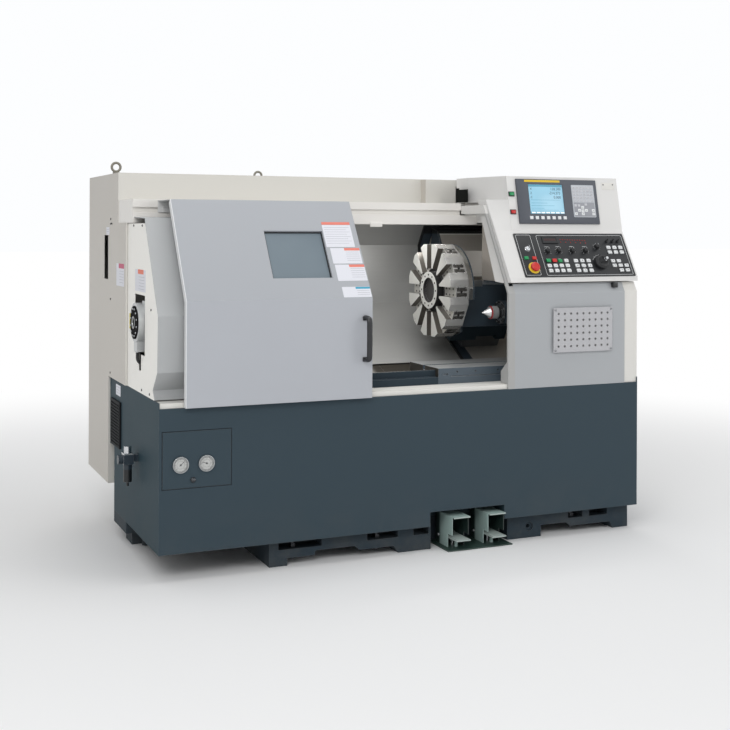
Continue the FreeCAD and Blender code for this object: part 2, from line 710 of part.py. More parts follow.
def vent_grille():
    y, z = (side_depth - 229.0, side_depth - 46.0), (side_step + 10, side_step + 208)
    frame = block((-8, 0), y, z)
    louvres, pitch = 14, 13.0
    for i in range(louvres):
        low = z[0] + 10 + i * pitch
        frame = frame.cut(block((-9, -3), (y[0] + 8, y[1] - 8), (low, low + 6)))
    keep("vent_grille", frame)


def filter_regulator():
    y, x = 352.0, -40.0
    body = block((x - 20, x + 20), (y - 22, y + 22), (392, 438))
    bracket = block((x + 18, 0), (y - 12, y + 12), (402, 430))
    knob = rod((x, y, 438), (0, 0, 1), 15, 26)
    bowl = rod((x, y, 322), (0, 0, 1), 17, 71)
    drain = rod((x, y, 304), (0, 0, 1), 5, 20)
    gauge = rod((x - 20, y, 412), (-1, 0, 0), 18, 20)
    elbow = rod((x, y + 20, 404), (0, 1, 0), 9, 22)
    body = join(body, bracket, knob, bowl, drain, gauge, elbow)
    keep("filter_regulator", body.cut(rod((x, y + 43, 404), (0, -1, 0), 6, 16)))


def eyebolts():
    bolts = []
    for x, y in ((8, 830), (830, 1330)):
        collar = rod((x, y, roof), (0, 0, 1), 15, 7)
        eye = Part.makeTorus(19, 5.5, V(x, y, roof + 29), V(0, 1, 0))
        bolts.append(join(collar, eye))
    keep("eyebolts", Part.makeCompound(bolts))


# ------------------------------------------------------------------ headstock and drive
def headstock():
    housing = block((headstock_left, headstock_right), (165, 485), (plinth_top, 1090))
    long_edges = [e for e in housing.Edges if abs(e.BoundBox.XLength - headstock_right + headstock_left) < 1
                  and e.BoundBox.ZMin > 1000]
    housing = housing.makeFillet(45, long_edges)
    foot = block((headstock_left, headstock_right), (205, 560), (plinth_top, plinth_top + 30))
    cap_ring = rod_x(headstock_right, headstock_right + 5.6, axis_y, axis_z, 92)
    body = join(housing, foot, cap_ring)
    keep("headstock", body.cut(rod_x(headstock_left - 1, headstock_right + 9, axis_y, axis_z, journal_radius + running)))


def spindle():
    nose = headstock_right + 6
    outline = [(20, bore_radius), (20, 40), (pulley_left - 6, 40), (pulley_left - 6, journal_radius),
               (nose, journal_radius), (nose, 85), (chuck_back, 85), (chuck_back, bore_radius)]
    keep("spindle", turned(outline, axis_y, axis_z))
    keep("spindle_pulley", pulley(axis_y, axis_z, spindle_pulley_radius, journal_radius))
    outline = [(cylinder_left, bore_radius), (cylinder_left, cylinder_radius), (38, cylinder_radius),
               (38, 75), (pulley_left - 8, 75), (pulley_left - 8, 40), (20, 40), (20, bore_radius)]
    keep("rotary_cylinder", turned(outline, axis_y, axis_z))


def pulley(y, z, radius, bore):
    wheel = rod_x(pulley_left, pulley_right, y, z, radius)
    grooves, pitch = 4, 14.0
    for i in range(grooves):
        x = pulley_left + 9 + i * pitch
        rim = rod_x(x, x + 6, y, z, radius + 1).cut(rod_x(x, x + 6, y, z, radius - 5))
        wheel = wheel.cut(rim)
    return wheel.cut(rod_x(pulley_left - 1, pulley_right + 1, y, z, bore))


def chuck():
    body = rod_x(chuck_back, chuck_back + chuck_length, axis_y, axis_z, chuck_radius)
    body = body.cut(rod_x(chuck_back - 1, chuck_back + chuck_length + 1, axis_y, axis_z, 30))
    face = chuck_back + chuck_length
    key_depth_x = 25.0
    for i in range(3):
        slot = block((face - key_depth_x - 0.4, face + 1), (axis_y - jaw_key / 2 - 0.3, axis_y + jaw_key / 2 + 0.3),
                     (axis_z + jaw_inner - jaw_stroke - slip, axis_z + chuck_radius + 5))
        body = body.cut(around_spindle(slot, i))
    keep("chuck_body", body)
    for i in range(3):
        key = block((face - key_depth_x, face + 1), (axis_y - jaw_key / 2, axis_y + jaw_key / 2),
                    (axis_z + jaw_inner, axis_z + jaw_inner + jaw_length))
        step = block((face + 0.4, face + jaw_height / 2), (axis_y - jaw_width / 2, axis_y + jaw_width / 2),
                     (axis_z + jaw_inner, axis_z + jaw_inner + jaw_length))
        top = block((face + 0.4, face + jaw_height), (axis_y - jaw_width / 2, axis_y + jaw_width / 2),
                    (axis_z + jaw_inner, axis_z + jaw_inner + jaw_length - 22))
        keep("chuck_jaw_%d" % (i + 1), around_spindle(join(key, step, top), i))


def around_spindle(shape, i):
    turned_shape = shape.copy()
    turned_shape.rotate(V(0, axis_y, axis_z), V(1, 0, 0), 120 * i)
    return turned_shape


def cylinder_housing():
    inner = cylinder_radius + 0.7
    ring = rod_x(-20, 34, axis_y, axis_z, 79)
    drain = block((-18, 28), (axis_y - 30, axis_y + 22), (846, 930))
    arm = block((5, 34), (206, 300), (1005, 1050))
    stay = rod_x(30, headstock_left, 215, 1032, 9)
    body = join(ring, drain, arm, stay).cut(rod_x(-30, 40, axis_y, axis_z, inner))
    keep("cylinder_housing", body)
    down, bend = 25.0, 26.0
    start = V(-10, axis_y - 6, 846)
    low = start + V(0, 0, -down)
    side = low + V(bend, 0, -bend)
    middle = low + V(bend * (1 - math.cos(math.pi / 4)), 0, -bend * math.sin(math.pi / 4))
    end = side + V(45, 0, 0)
    path = Part.Wire([Part.LineSegment(start, low).toShape(), Part.Arc(low, middle, side).toShape(),
                      Part.LineSegment(side, end).toShape()])
    circle = Part.Wire([Part.makeCircle(hose_radius, start, V(0, 0, -1))])
    keep("cylinder_housing", Part.makeCompound([body, path.makePipeShell([circle], True, False)]))


hose_radius = 6.0


def spindle_motor():
    barrel = rod_x(headstock_left, headstock_right, motor_y, motor_z, motor_radius)
    flange = block((headstock_left, headstock_left + 20), (motor_y - 115, motor_y + 115),
                   (motor_z - 115, motor_z + 115))
    bracket = block((220, 420), (motor_y + 90, 560), (250, 410))
    box = block((260, 380), (motor_y - 60, motor_y + 60), (motor_z + 90, motor_z + 150))
    body = join(barrel, flange, bracket, box)
    keep("spindle_motor", body.cut(rod_x(headstock_left - 1, headstock_left + 80, motor_y, motor_z, 19 + running)))
    wheel = pulley(motor_y, motor_z, motor_pulley_radius, 18)
    shaft = rod_x(pulley_left, headstock_left + 70, motor_y, motor_z, 19)
    keep("motor_pulley", join(wheel, shaft))


def belt_loop(extra):
    y, z = motor_y - axis_y, motor_z - axis_z
    span = math.hypot(y, z)
    big, small = spindle_pulley_radius + extra, motor_pulley_radius + extra
    ey, ez = y / span, z / span
    along = (big - small) / span
    across = math.sqrt(1 - along * along)
    sides = [(along * ey - s * across * ez, along * ez + s * across * ey) for s in (1, -1)]
    (ay, az), (by, bz) = sides
    quad = [(axis_y + big * ay, axis_z + big * az), (motor_y + small * ay, motor_z + small * az),
            (motor_y + small * by, motor_z + small * bz), (axis_y + big * by, axis_z + big * bz)]
    x = (pulley_left + 6, pulley_right - 6)
    return join(prism_x(quad, *x), rod_x(*x, axis_y, axis_z, big), rod_x(*x, motor_y, motor_z, small))


def drive_belt():
    keep("drive_belt", belt_loop(0.4 + belt_thickness).cut(belt_loop(0.4)))


# ------------------------------------------------------------------ carriage and turret
def way_covers():
    inner = beside(guard_line, 2 * (sheet + seam))
    middle = beside(guard_line, sheet + seam)
    keep("left_way_cover", folded(inner, sheet, chamber_left, left_cover_end))
    keep("sliding_way_cover", folded(middle, sheet, sliding_cover_left, neck_left - 6))
    keep("right_way_cover", folded(inner, sheet, right_cover_left, length - sheet))
    keep("right_middle_cover", folded(middle, sheet, right_cover_left, guard_right))


def saddle():
    slab = on_slope((saddle_left, saddle_right), (20, 490), (bed_plane + way_height + slip, saddle_top))
    keel = on_slope((saddle_left + 40, saddle_right - 60), (way_low[1] + slip, way_high[0] - slip),
                    (bed_plane + 5, bed_plane + way_height + 1))
    collar = on_slope((neck_left - 6, neck_right + 6), (neck_low - 4, neck_high + 4), (saddle_top - 1, -sheet))
    neck = on_slope((neck_left, neck_right), (neck_low, neck_high), (saddle_top - 1, neck_top))
    rail = on_slope(ridge, (neck_low, neck_high), (neck_top - 1, neck_top + ridge_height))
    y, z = slope(screw_u, screw_n)
    body = join(slab, keel, collar, neck, rail)
    keep("saddle", body.cut(rod_x(saddle_left - 1, saddle_right + 1, y, z, screw_radius + running)))
    keep("ball_screw", rod_x(bed_left + 20, bed_right - 5, y, z, screw_radius))


def carriage_guard():
    skin = folded(guard_line, sheet, guard_left, guard_right)
    skin = skin.cut(on_slope((neck_left - slip, neck_right + slip), (neck_low - slip, neck_high + slip),
                             (-sheet - 1, 1)))
    box_line = [(1016, 1345), (960, 1330), (905, 1230), (905, 1100), (1053, 1075)]
    front = folded(box_line, sheet, guard_left + 40, guard_right - 110)
    ends = [prism_x(box_line, x, x + sheet) for x in (guard_left + 40, guard_right - 110 - sheet)]
    keep("carriage_guard", join(skin, front, *ends))
    seal = beside(guard_line, -4)
    keep("guard_seal", folded(seal, 4 + sheet + seam - 0.3, guard_left - 12, guard_left))


def cross_slide():
    body = on_slope((slide_left, slide_right), (slide_low, slide_high), (neck_top + slip, slide_top))
    groove = on_slope((ridge[0] - slip, ridge[1] + slip), (slide_low - 1, slide_high + 1),
                      (neck_top - 1, neck_top + ridge_height + slip))
    keep("cross_slide", body.cut(groove))


def turret():
    low = slope(0, slide_top)
    high = slope(300, slide_top)
    back = turret_left + turret_thickness
    outline = [(body_front, low[1]), low, high, (high[0], body_top), (body_front, body_top)]
    housing = prism_x(outline, back + 30, body_right)
    flange = rod_x(back + 0.8, back + 31, turret_y, turret_z, turret_radius - 8)
    relief = block((back, back + 32), (0, body_front - 5), (700, 1025))
    motor = rod_x(body_right - 1, slide_right, turret_y + 150, turret_z - 2, 60)
    under = prism_x([slope(150, slide_top), slope(290, slide_top), (slope(290, slide_top)[0], 1050),
                     (slope(150, slide_top)[0], 1050)], body_right - 1, slide_right)
    below = on_slope((back, slide_right + 1), (-400, 400), (slide_top - 200, slide_top))
    body = join(housing, flange.cut(relief), motor.cut(below), under)
    keep("turret_body", body.cut(rod_x(back, back + 90, turret_y, turret_z, shaft_radius + running)))
    keep("turret_disc", turret_disc(back))


def turret_disc(back):
    corners = []
    for i in range(stations):
        angle = 2 * math.pi * (i + 0.5) / stations
        corners.append((turret_y + turret_radius * math.sin(angle), turret_z + turret_radius * math.cos(angle)))
    disc = prism_x(corners, turret_left, back)
    floor = turret_left + slot_depth
    groove = rod_x(turret_left - 1, floor + 4, turret_y, turret_z, hub_radius + hub_gap)
    disc = disc.cut(groove.cut(rod_x(turret_left - 1, floor + 5, turret_y, turret_z, hub_radius)))
    disc = join(disc, rod_x(turret_left - hub_proud, turret_left + 1, turret_y, turret_z, hub_radius))
    disc = disc.cut(rod_x(turret_left - hub_proud - 1, turret_left + 12, turret_y, turret_z, hub_bore))
    rim = turret_z + turret_radius * math.cos(math.pi / stations)
    cuts = []
    for i in range(stations):
        slot = block((turret_left - 1, floor), (turret_y - slot_width / 2, turret_y + slot_width / 2),
                     (turret_z + hub_radius + hub_gap - 6, turret_z + turret_radius + 5))
        holes = [rod_x(turret_left - hub_proud - 1, turret_left + 8, turret_y, turret_z + (hub_radius + hub_bore) / 2, 4)]
        for side in (-clamp_spacing / 2, clamp_spacing / 2):
            holes += [rod_x(floor - 1, floor + 14, turret_y + side, turret_z + r, 3.5) for r in clamp_holes]
            holes += [rod((x, turret_y + 1.5 * side, rim + 1), (0, 0, -1), 3.5, 15) for x in (floor + 14, back - 14)]
        holes.append(rod((floor + 30, turret_y, rim + 1), (0, 0, -1), 7, 15))
        for cutter in [slot] + holes:
            cutter.rotate(V(0, turret_y, turret_z), V(1, 0, 0), 360.0 * i / stations)
            cuts.append(cutter)
    disc = disc.cut(cuts[0].multiFuse(cuts[1:]))
    return join(disc, rod_x(back - 1, back + 60, turret_y, turret_z, shaft_radius))


# ------------------------------------------------------------------ tailstock
def tailstock():
    base = block((tail_left, tail_right), (way_front + 10, way_back - 5), (way_top + slip, 870))
    key = block((tail_left, tail_right), (250 + slip, 270 - slip), (way_top - 18, way_top + 1))
    column = prism_x([(way_front + 60, 869), (way_back - 5, 869), (axis_y + tail_radius - 5, axis_z),
                      (axis_y - tail_radius + 5, axis_z)], tail_left, tail_right - 20)
    barrel = rod_x(tail_left - 10, tail_right - 10, axis_y, axis_z, tail_radius)
    nose = rod_x(nose_left, tail_left, axis_y, axis_z, nose_radius)
    body = join(base, key, column, barrel, nose)
    keep("tailstock", body.cut(rod_x(nose_left - 1, tail_right - 40, axis_y, axis_z, quill_radius + running)))


def quill():
    front = nose_left + 2
    body = rod_x(front, tail_right - 50, axis_y, axis_z, quill_radius)
    keep("quill", body.cut(rod_x(front - 1, front + 120, axis_y, axis_z, centre_shank)))
    shoulder = nose_left - 4
    ring = centre_tip + 38
    outline = [(centre_tip, 0), (ring, 22), (ring, 26), (ring + 6, 26), (ring + 6, centre_radius),
               (shoulder, centre_radius), (shoulder, 20), (front - 0.4, 20),
               (front - 0.4, centre_shank - running), (front + 115, centre_shank - running), (front + 115, 0)]
    keep("live_centre", turned(outline, axis_y, axis_z))


# ------------------------------------------------------------------ sliding door
def front_door():
    right = door_left + door_width
    skin = folded(door_line, -sheet, door_left, right)
    sides = []
    for x in (door_left, right - sheet):
        sides.append(folded(door_line, -door_depth, x, x + sheet))
    bottom = block((door_left, right), (door_front, door_front + door_depth), (door_bottom, door_bottom + sheet))
    hook = canopy_front + groove_depth - slip
    hanger_line = [(door_top[0] + 1, door_top[1] - sheet), (canopy_front - 6, door_top[1] - sheet),
                   (canopy_front - 6, groove_low + slip)]
    hanger = folded(hanger_line, sheet, door_left, right)
    tongue = block((door_left + 20, right - 20), (canopy_front - 8, hook), (groove_low + slip, groove_high - slip))
    window = block((window_left, window_left + window_width), (window_low, window_low + window_height), (-10, 10))
    body = join(skin, bottom, hanger, tongue, *sides)
    body = body.cut(put(window, door_face))
    frame = block((window_left - 14, window_left + window_width + 14),
                  (window_low - 14, window_low + window_height + 14), (-sheet - 10, -sheet))
    frame = frame.cut(block((window_left, window_left + window_width),
                            (window_low, window_low + window_height), (-sheet - 11, 0)))
    keep("front_door", join(body, put(frame, door_face)))
    glass = block((window_left - 12, window_left + window_width + 12),
                  (window_low - 12, window_low + window_height + 12), (-sheet - 18, -sheet - 10))
    keep("door_window", put(glass, door_face))


def door_handle():
    x = (handle_left, handle_left + handle_width)
    outer = block(x, (door_front - handle_reach, door_front), (handle_low, handle_high))
    hole = block((x[0] - 1, x[1] + 1), (door_front - handle_reach + handle_thickness, door_front + 1),
                 (handle_low + 22, handle_high - 22))
    grip = outer.cut(hole)
    front_edges = [e for e in grip.Edges if e.BoundBox.YMax < door_front - handle_reach + 1]
    keep("door_handle", grip.makeFillet(6, front_edges))


# ------------------------------------------------------------------ pedals
def pedals():
    floor_plate = block((notch_left + 72, notch_right + 26), (-25, recess_back - seat_gap), (0, pedal_sheet * 2))
    guards = [floor_plate]
    for start in pedal_starts:
        end = start + pedal_width
        shell = block((start, end), (pedal_guard_front, pedal_guard_back), (pedal_sheet * 2, pedal_guard_height))
        inner = block((start + pedal_sheet, end - pedal_sheet),
                      (pedal_guard_front - 1, pedal_guard_back - pedal_sheet),
                      (pedal_sheet, pedal_guard_height - pedal_sheet))
        corner = block((start - 1, end + 1), (pedal_guard_front - 1, pedal_guard_front + 40), (2 * pedal_sheet, 62))
        lip = block((start, end), (pedal_guard_front - 14, pedal_guard_front + 1),
                    (pedal_guard_height - pedal_sheet, pedal_guard_height))
        pin = rod_x(start, end, pedal_pivot[0], pedal_pivot[1], pin_radius)
        stop = rod((start + pedal_width / 2, 30, 4), (0, 0, 1), 7, 20)
        guards += [shell.cut(inner).cut(corner), lip, pin, stop]
    keep("pedal_guards", join(*guards))
    for i, start in enumerate(pedal_starts):
        side = pedal_sheet + 3
        x = (start + side, start + pedal_width - side)
        tread = block(x, (tread_front, pedal_pivot[0]), (tread_top - tread_thickness, tread_top))
        boss = rod_x(*x, pedal_pivot[0], pedal_pivot[1], 11)
        body = join(tread, boss).cut(rod_x(x[0] - 1, x[1] + 1, pedal_pivot[0], pedal_pivot[1], pin_radius + running))
        keep("foot_pedal_%d" % (i + 1), body)


# ------------------------------------------------------------------ build all and write them
for make in (bed_casting, levelling_bolts, base_cabinet, gauge_hatch, coolant_tank, chip_trough, tailstock_way, sill,
             left_front_cover, left_side_cover, door_track, rear_cabinet, cabinet_door, right_front_cover,
             right_side_cover, headstock_bulkhead, console_housing, key_panel, panel_controls, display_unit,
             perforated_plate, vent_grille, filter_regulator, eyebolts, headstock, spindle, chuck,
             cylinder_housing, spindle_motor, drive_belt, way_covers, saddle, carriage_guard, cross_slide, turret,
             tailstock, quill, front_door, door_handle, pedals):
    make()

os.makedirs("parts", exist_ok=True)
whole = Part.makeCompound(list(pieces.values())).BoundBox
origin = V((whole.XMin + whole.XMax) / 2, (whole.YMin + whole.YMax) / 2, whole.ZMin)
print("pieces", len(pieces), "origin", [round(c, 3) for c in origin])
for name, shape in pieces.items():
    shape.translate(origin.negative())
    shape.exportStep("parts/%s.step" % name)
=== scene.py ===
# CNC turning lathe: the looks of the machine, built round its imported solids.
from math import atan2, cos, degrees, radians, sin

import bpy
from mathutils import Matrix, Vector


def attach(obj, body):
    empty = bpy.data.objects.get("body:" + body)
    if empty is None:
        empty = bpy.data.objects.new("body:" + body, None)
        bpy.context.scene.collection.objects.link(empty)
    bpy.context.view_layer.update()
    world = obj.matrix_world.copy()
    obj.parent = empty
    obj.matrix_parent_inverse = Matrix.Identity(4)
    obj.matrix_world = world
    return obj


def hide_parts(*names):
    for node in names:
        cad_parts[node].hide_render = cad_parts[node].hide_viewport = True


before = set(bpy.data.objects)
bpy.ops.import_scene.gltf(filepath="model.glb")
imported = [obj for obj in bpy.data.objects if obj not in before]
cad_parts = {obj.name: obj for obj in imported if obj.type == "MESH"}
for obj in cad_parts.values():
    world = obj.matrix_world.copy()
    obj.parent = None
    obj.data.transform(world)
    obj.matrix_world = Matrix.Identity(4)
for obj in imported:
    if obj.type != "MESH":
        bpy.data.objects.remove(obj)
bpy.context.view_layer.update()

# ---------------- camera
# The photographer stood left of the machine's front with a long lens at chest height; the lens
# axis is level and the picture is moved down on the film.
lens = bpy.data.cameras.new("camera")
lens.sensor_width = 36
lens.lens = 58.39
lens.shift_y = -0.1877
camera = bpy.data.objects.new("camera", lens)
camera.location = (-2.1237, -5.0439, 1.3440)
camera.rotation_euler = (Matrix.Rotation(radians(-23.6), 3, "Z") @ Matrix.Rotation(radians(90), 3, "X")
                         @ Matrix.Rotation(radians(0.24), 3, "Z")).to_euler()
bpy.context.scene.collection.objects.link(camera)
bpy.context.scene.camera = camera
bpy.context.scene.view_settings.view_transform = "Standard"


# ---------------- studio
# A pale floor that fades into a white surround, under wide soft lamps. The floor takes the shadow.
def rgb(red, green, blue):
    """A colour as the eye reads it off a print, 0 to 255, as the light values that shaders use."""
    parts = [c / 255 for c in (red, green, blue)]
    return tuple(c / 12.92 if c <= 0.04045 else ((c + 0.055) / 1.055) ** 2.4 for c in parts) + (1,)


def node(tree, kind, *values, **named):
    """Adds a shader node. Numbers and links fill its inputs in order, names set inputs or settings."""
    made = tree.nodes.new("ShaderNode" + kind)
    for key, value in [*enumerate(values), *named.items()]:
        if isinstance(key, str) and key in made.bl_rna.properties:
            setattr(made, key, value)
            continue
        socket = made.inputs[key.replace("_", " ") if isinstance(key, str) else key]
        if isinstance(value, bpy.types.NodeSocket):
            tree.links.new(value, socket)
        elif value is not None:
            socket.default_value = value
    return made


def maths(tree, operation, *values, clamp=False):
    return node(tree, "Math", *values, operation=operation, use_clamp=clamp).outputs[0]


def times(tree, product, *others):
    """The product of numbers or masks."""
    for other in others:
        product = maths(tree, "MULTIPLY", product, other)
    return product


def ramp(tree, value, low, high, start=0.0, end=1.0):
    return node(tree, "MapRange", value, low, high, start, end, interpolation_type="SMOOTHSTEP").outputs[0]


def mix(tree, share, first, second):
    """The first colour, with a share of the second."""
    return node(tree, "MixRGB", share, first, second).outputs[0]


def noise(tree, where, scale, detail, roughness=0.5):
    return node(tree, "TexNoise", where, Scale=scale, Detail=detail, Roughness=roughness).outputs[0]


def on_piece(tree):
    return node(tree, "TexCoord").outputs["Object"]


def new_material(name):
    material = bpy.data.materials.new(name)
    material.use_nodes = True
    material.node_tree.nodes.clear()
    return material, material.node_tree


WHITE_FROM, WHITE_AT = 1.9, 5.0  # metres from the machine's middle between which the paper turns white
floor_paper, tree = new_material("studio_floor")
distance = node(tree, "VectorMath", on_piece(tree), operation="LENGTH").outputs["Value"]
ray = node(tree, "LightPath").outputs
seen_far = times(tree, ramp(tree, distance, WHITE_FROM, WHITE_AT),
                 maths(tree, "MAXIMUM", ray["Is Camera Ray"], ray["Is Glossy Ray"]))
tone = mix(tree, noise(tree, None, 6.0, 2.0), rgb(243, 243, 243), rgb(247, 247, 247))
paper = node(tree, "BsdfDiffuse", Color=tone)
white = node(tree, "Emission", Color=(1, 1, 1, 1), Strength=1.0)
blend = node(tree, "MixShader", seen_far, paper.outputs[0], white.outputs[0])
node(tree, "OutputMaterial", Surface=blend.outputs[0])
bpy.ops.object.select_all(action="DESELECT")
bpy.ops.mesh.primitive_plane_add(size=120)
floor = bpy.context.object
floor.name = "studio_floor"
floor.data.materials.append(floor_paper)

surround = bpy.data.worlds.new("surround")
bpy.context.scene.world = surround
surround.use_nodes = True
tree = surround.node_tree
tree.nodes.clear()
ray = node(tree, "LightPath").outputs
shown = maths(tree, "MAXIMUM", ray["Is Camera Ray"], ray["Is Transmission Ray"])
shown = maths(tree, "MAXIMUM", shown, times(tree, ray["Is Glossy Ray"], 0.75))
sky = node(tree, "Background", Color=(0.98, 0.99, 1.0, 1), Strength=ramp(tree, shown, 0, 1, 0.52, 1.0))
node(tree, "OutputWorld", Surface=sky.outputs[0])

for lamp_name, place, aim, size, power in (
        ("key_lamp", (-3.2, -5.2, 4.2), (0, 0, 0.9), (3.4, 2.4), 120),
        ("fill_lamp", (4.2, -4.6, 2.6), (0.2, 0, 0.9), (2.6, 2.6), 50),
        ("top_lamp", (0.2, -0.8, 4.6), (0, 0, 0), (4.0, 2.4), 45),
        ("chamber_lamp", (0.02, -0.17, 1.352), (0.0, -0.05, 0.7), (0.9, 0.08), 3.0),
        ("rear_lamp", (0.9, 4.8, 3.4), (0, 0, 0.9), (3.4, 2.4), 52)):
    light = bpy.data.lights.new(lamp_name, "AREA")
    light.shape = "RECTANGLE"
    light.size, light.size_y = size
    light.energy = power
    lamp = bpy.data.objects.new(lamp_name, light)
    lamp.visible_camera = False
    lamp.location = place
    lamp.rotation_euler = (Vector(aim) - Vector(place)).to_track_quat("-Z", "Y").to_euler()
    bpy.context.scene.collection.objects.link(lamp)


# ---------------- enamelled sheet and castings
# Bed, cabinet and guards are steel and iron under sprayed enamel. The spray leaves a fine orange
# peel and soft clouds, and the folded edges are painted paler as a painted highlight.
def new_group(name, inputs, outputs):
    """An empty shader group with named sockets: kind F for a number, C a colour, V a vector."""
    kinds = {"F": "Float", "C": "Color", "V": "Vector"}
    group = bpy.data.node_groups.new(name, "ShaderNodeTree")
    for side, sockets in (("INPUT", inputs), ("OUTPUT", outputs)):
        for label, kind in sockets.items():
            group.interface.new_socket(label, in_out=side, socket_type="NodeSocket" + kinds[kind])
    return group, group.nodes.new("NodeGroupInput").outputs, group.nodes.new("NodeGroupOutput").inputs


def hand_over(tree, result, **values):
    """Links what a group has worked out to its outputs."""
    for label, value in values.items():
        tree.links.new(value, result[label])


def swing(tree, pattern, amount, middle):
    """A number that follows a noise pattern to both sides of a middle value."""
    return maths(tree, "MULTIPLY_ADD", maths(tree, "SUBTRACT", pattern, 0.5), amount, middle)


def shaded(tree, colour, shade):
    return node(tree, "VectorMath", colour, operation="SCALE", Scale=shade).outputs[0]


def surface(tree, **sockets):
    """The shader that every finish ends with."""
    node(tree, "OutputMaterial", Surface=node(tree, "BsdfPrincipled", **sockets).outputs[0])


def rounded_edge(tree, radius):
    """The normal of an edge with a small round, and a mask that is 1 on that round."""
    soft = node(tree, "Bevel", Radius=radius, samples=4).outputs[0]
    flat = node(tree, "NewGeometry").outputs["Normal"]
    bend = node(tree, "VectorMath", soft, flat, operation="DOT_PRODUCT").outputs["Value"]
    return soft, ramp(tree, bend, 0.995, 0.85)


enamel_spray, given, result = new_group(
    "enamel_spray", dict(Colour="C", Peel="F", Clouds="F", Roughness="F", Edge="F"),
    dict(Colour="C", Roughness="F", Normal="V"))
tree = enamel_spray
where = on_piece(tree)
cloud, peel, speck = noise(tree, where, 1.7, 4.0), noise(tree, where, 210.0, 2.0), noise(tree, where, 900.0, 1.0)
normal, edge = rounded_edge(tree, 0.0022)
base = shaded(tree, given["Colour"], swing(tree, speck, 0.05, swing(tree, cloud, given["Clouds"], 1.0)))
# The rounded edges are mixed toward a pale colour: a painted highlight.
pale = mix(tree, 0.22, given["Colour"], (0.9, 0.9, 0.88, 1))
edge_highlit = mix(tree, times(tree, edge, given["Edge"]), base, pale)
rough = swing(tree, peel, 0.10, swing(tree, cloud, 0.18, given["Roughness"]))
skin = node(tree, "Bump", Strength=given["Peel"], Distance=0.0006, Height=peel, Normal=normal).outputs[0]
hand_over(tree, result, Colour=edge_highlit, Roughness=rough, Normal=skin)

floor_soil, given, result = new_group("floor_soil", dict(Colour="C", Height="F", Amount="F"), dict(Colour="C"))
tree = floor_soil
where = on_piece(tree)
high = node(tree, "SeparateXYZ", where).outputs[2]
drift = ramp(tree, noise(tree, where, 7.0, 6.0, 0.65), 0.35, 0.7)
low = maths(tree, "SUBTRACT", 1.0, maths(tree, "DIVIDE", high, given["Height"]), clamp=True)
dusty = maths(tree, "MULTIPLY", times(tree, low, drift), given["Amount"], clamp=True)
soiled = mix(tree, dusty, given["Colour"], rgb(104, 100, 94))
hand_over(tree, result, Colour=soiled)

SEAM = 0.0004  # metres over which one colour of a piece gives way to the next
TURN = 0.1  # the same for the direction of a face


def between(low, high, soft=SEAM):
    """A range of a value, and how softly it ends. above and below leave one side open."""
    return low, high, soft


def above(low, soft=SEAM):
    return low, None, soft


def below(high, soft=SEAM):
    return None, high, soft


def piece_values(tree):
    """Where a spot of a piece lies, in metres, and how far its face looks along each axis."""
    spot = node(tree, "TexCoord").outputs
    sides = {"": node(tree, "SeparateXYZ", spot["Object"]), "face_": node(tree, "SeparateXYZ", spot["Normal"])}
    return {side + axis: apart.outputs[axis.upper()] for side, apart in sides.items() for axis in "xyz"}


def inside(tree, values, zone):
    """A mask that is 1 where each of the zone's values keeps to its range, and 0 elsewhere."""
    masks = []
    for name, (low, high, soft) in zone.items():
        if low is not None:
            masks.append(ramp(tree, values[name], low - soft, low + soft))
        if high is not None:
            masks.append(ramp(tree, values[name], high - soft, high + soft, 1.0, 0.0))
    return times(tree, *masks)


def enamel(name, colour, peel=0.16, clouds=0.07, roughness=0.45, edge=0.5, lacquer=0.06, soil=None, shine=0.3,
           fields=()):
    """Sprayed enamel. soil is the height in metres below which floor dust clings, and how much;
    fields are other colours, each laid on one zone of the piece."""
    material, tree = new_material(name)
    values = piece_values(tree) if fields else {}
    for zone, zone_colour in fields:
        colour = mix(tree, inside(tree, values, zone), colour, zone_colour)
    spray = node(tree, "Group", node_tree=enamel_spray, Colour=colour, Peel=peel, Clouds=clouds,
                 Roughness=roughness, Edge=edge).outputs
    tint = spray["Colour"]
    if soil:
        tint = node(tree, "Group", node_tree=floor_soil, Colour=tint, Height=soil[0], Amount=soil[1]).outputs[0]
    surface(tree, Base_Color=tint, Roughness=spray["Roughness"], Normal=spray["Normal"], Coat_Weight=lacquer,
            Coat_Roughness=0.25, Specular_IOR_Level=shine)
    return material


def coat(material, *names):
    """Gives solids of the machine their finish."""
    for name in names:
        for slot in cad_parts[name].material_slots:
            slot.material = material


# Faces that look left get a darker colour on several pieces: painted shade on the side away from the lamps.
left_faces_shaded = dict(face_x=below(-0.7, TURN))
hatch_seam = dict(face_y=below(-0.7, TURN), x=between(-1.0385, -0.7635), z=between(0.3515, 0.5725))
base_coat = dict(peel=0.2, roughness=0.55, soil=(0.3, 0.15), lacquer=0.0, shine=0.1)
# The base's left faces are painted darker as painted shade.
coat(enamel("slate_enamel", rgb(60, 73, 81), **base_coat,
            fields=[(hatch_seam, rgb(20, 30, 38)), (left_faces_shaded, rgb(47, 65, 73))]),
     "base_cabinet", "coolant_tank", "cross_slide")
coat(enamel("hatch_enamel", rgb(60, 73, 81), **base_coat), "gauge_hatch")
coat(enamel("slate_casting", rgb(50, 61, 69), peel=0.5, clouds=0.2, roughness=0.6, soil=(0.25, 0.3),
            lacquer=0.0, shine=0.1), "bed_casting", "spindle_motor")
JAMB = 0.4955  # the right front cover's narrow side in the door opening ends here
coat(enamel("panel_enamel", rgb(170, 173, 176), fields=[
    (dict(x=below(JAMB)), rgb(170, 170, 169)), (dict(x=below(JAMB), z=above(1.41)), rgb(216, 215, 212))]),
     "right_front_cover")
cream = enamel("cream_enamel", rgb(221, 219, 214), clouds=0.04)
canopy_cream = enamel("canopy_enamel", rgb(236, 233, 228), clouds=0.04)
coat(cream, "right_side_cover")
coat(canopy_cream, "door_track")
coat(enamel("plate_enamel", rgb(183, 183, 186)), "perforated_plate")
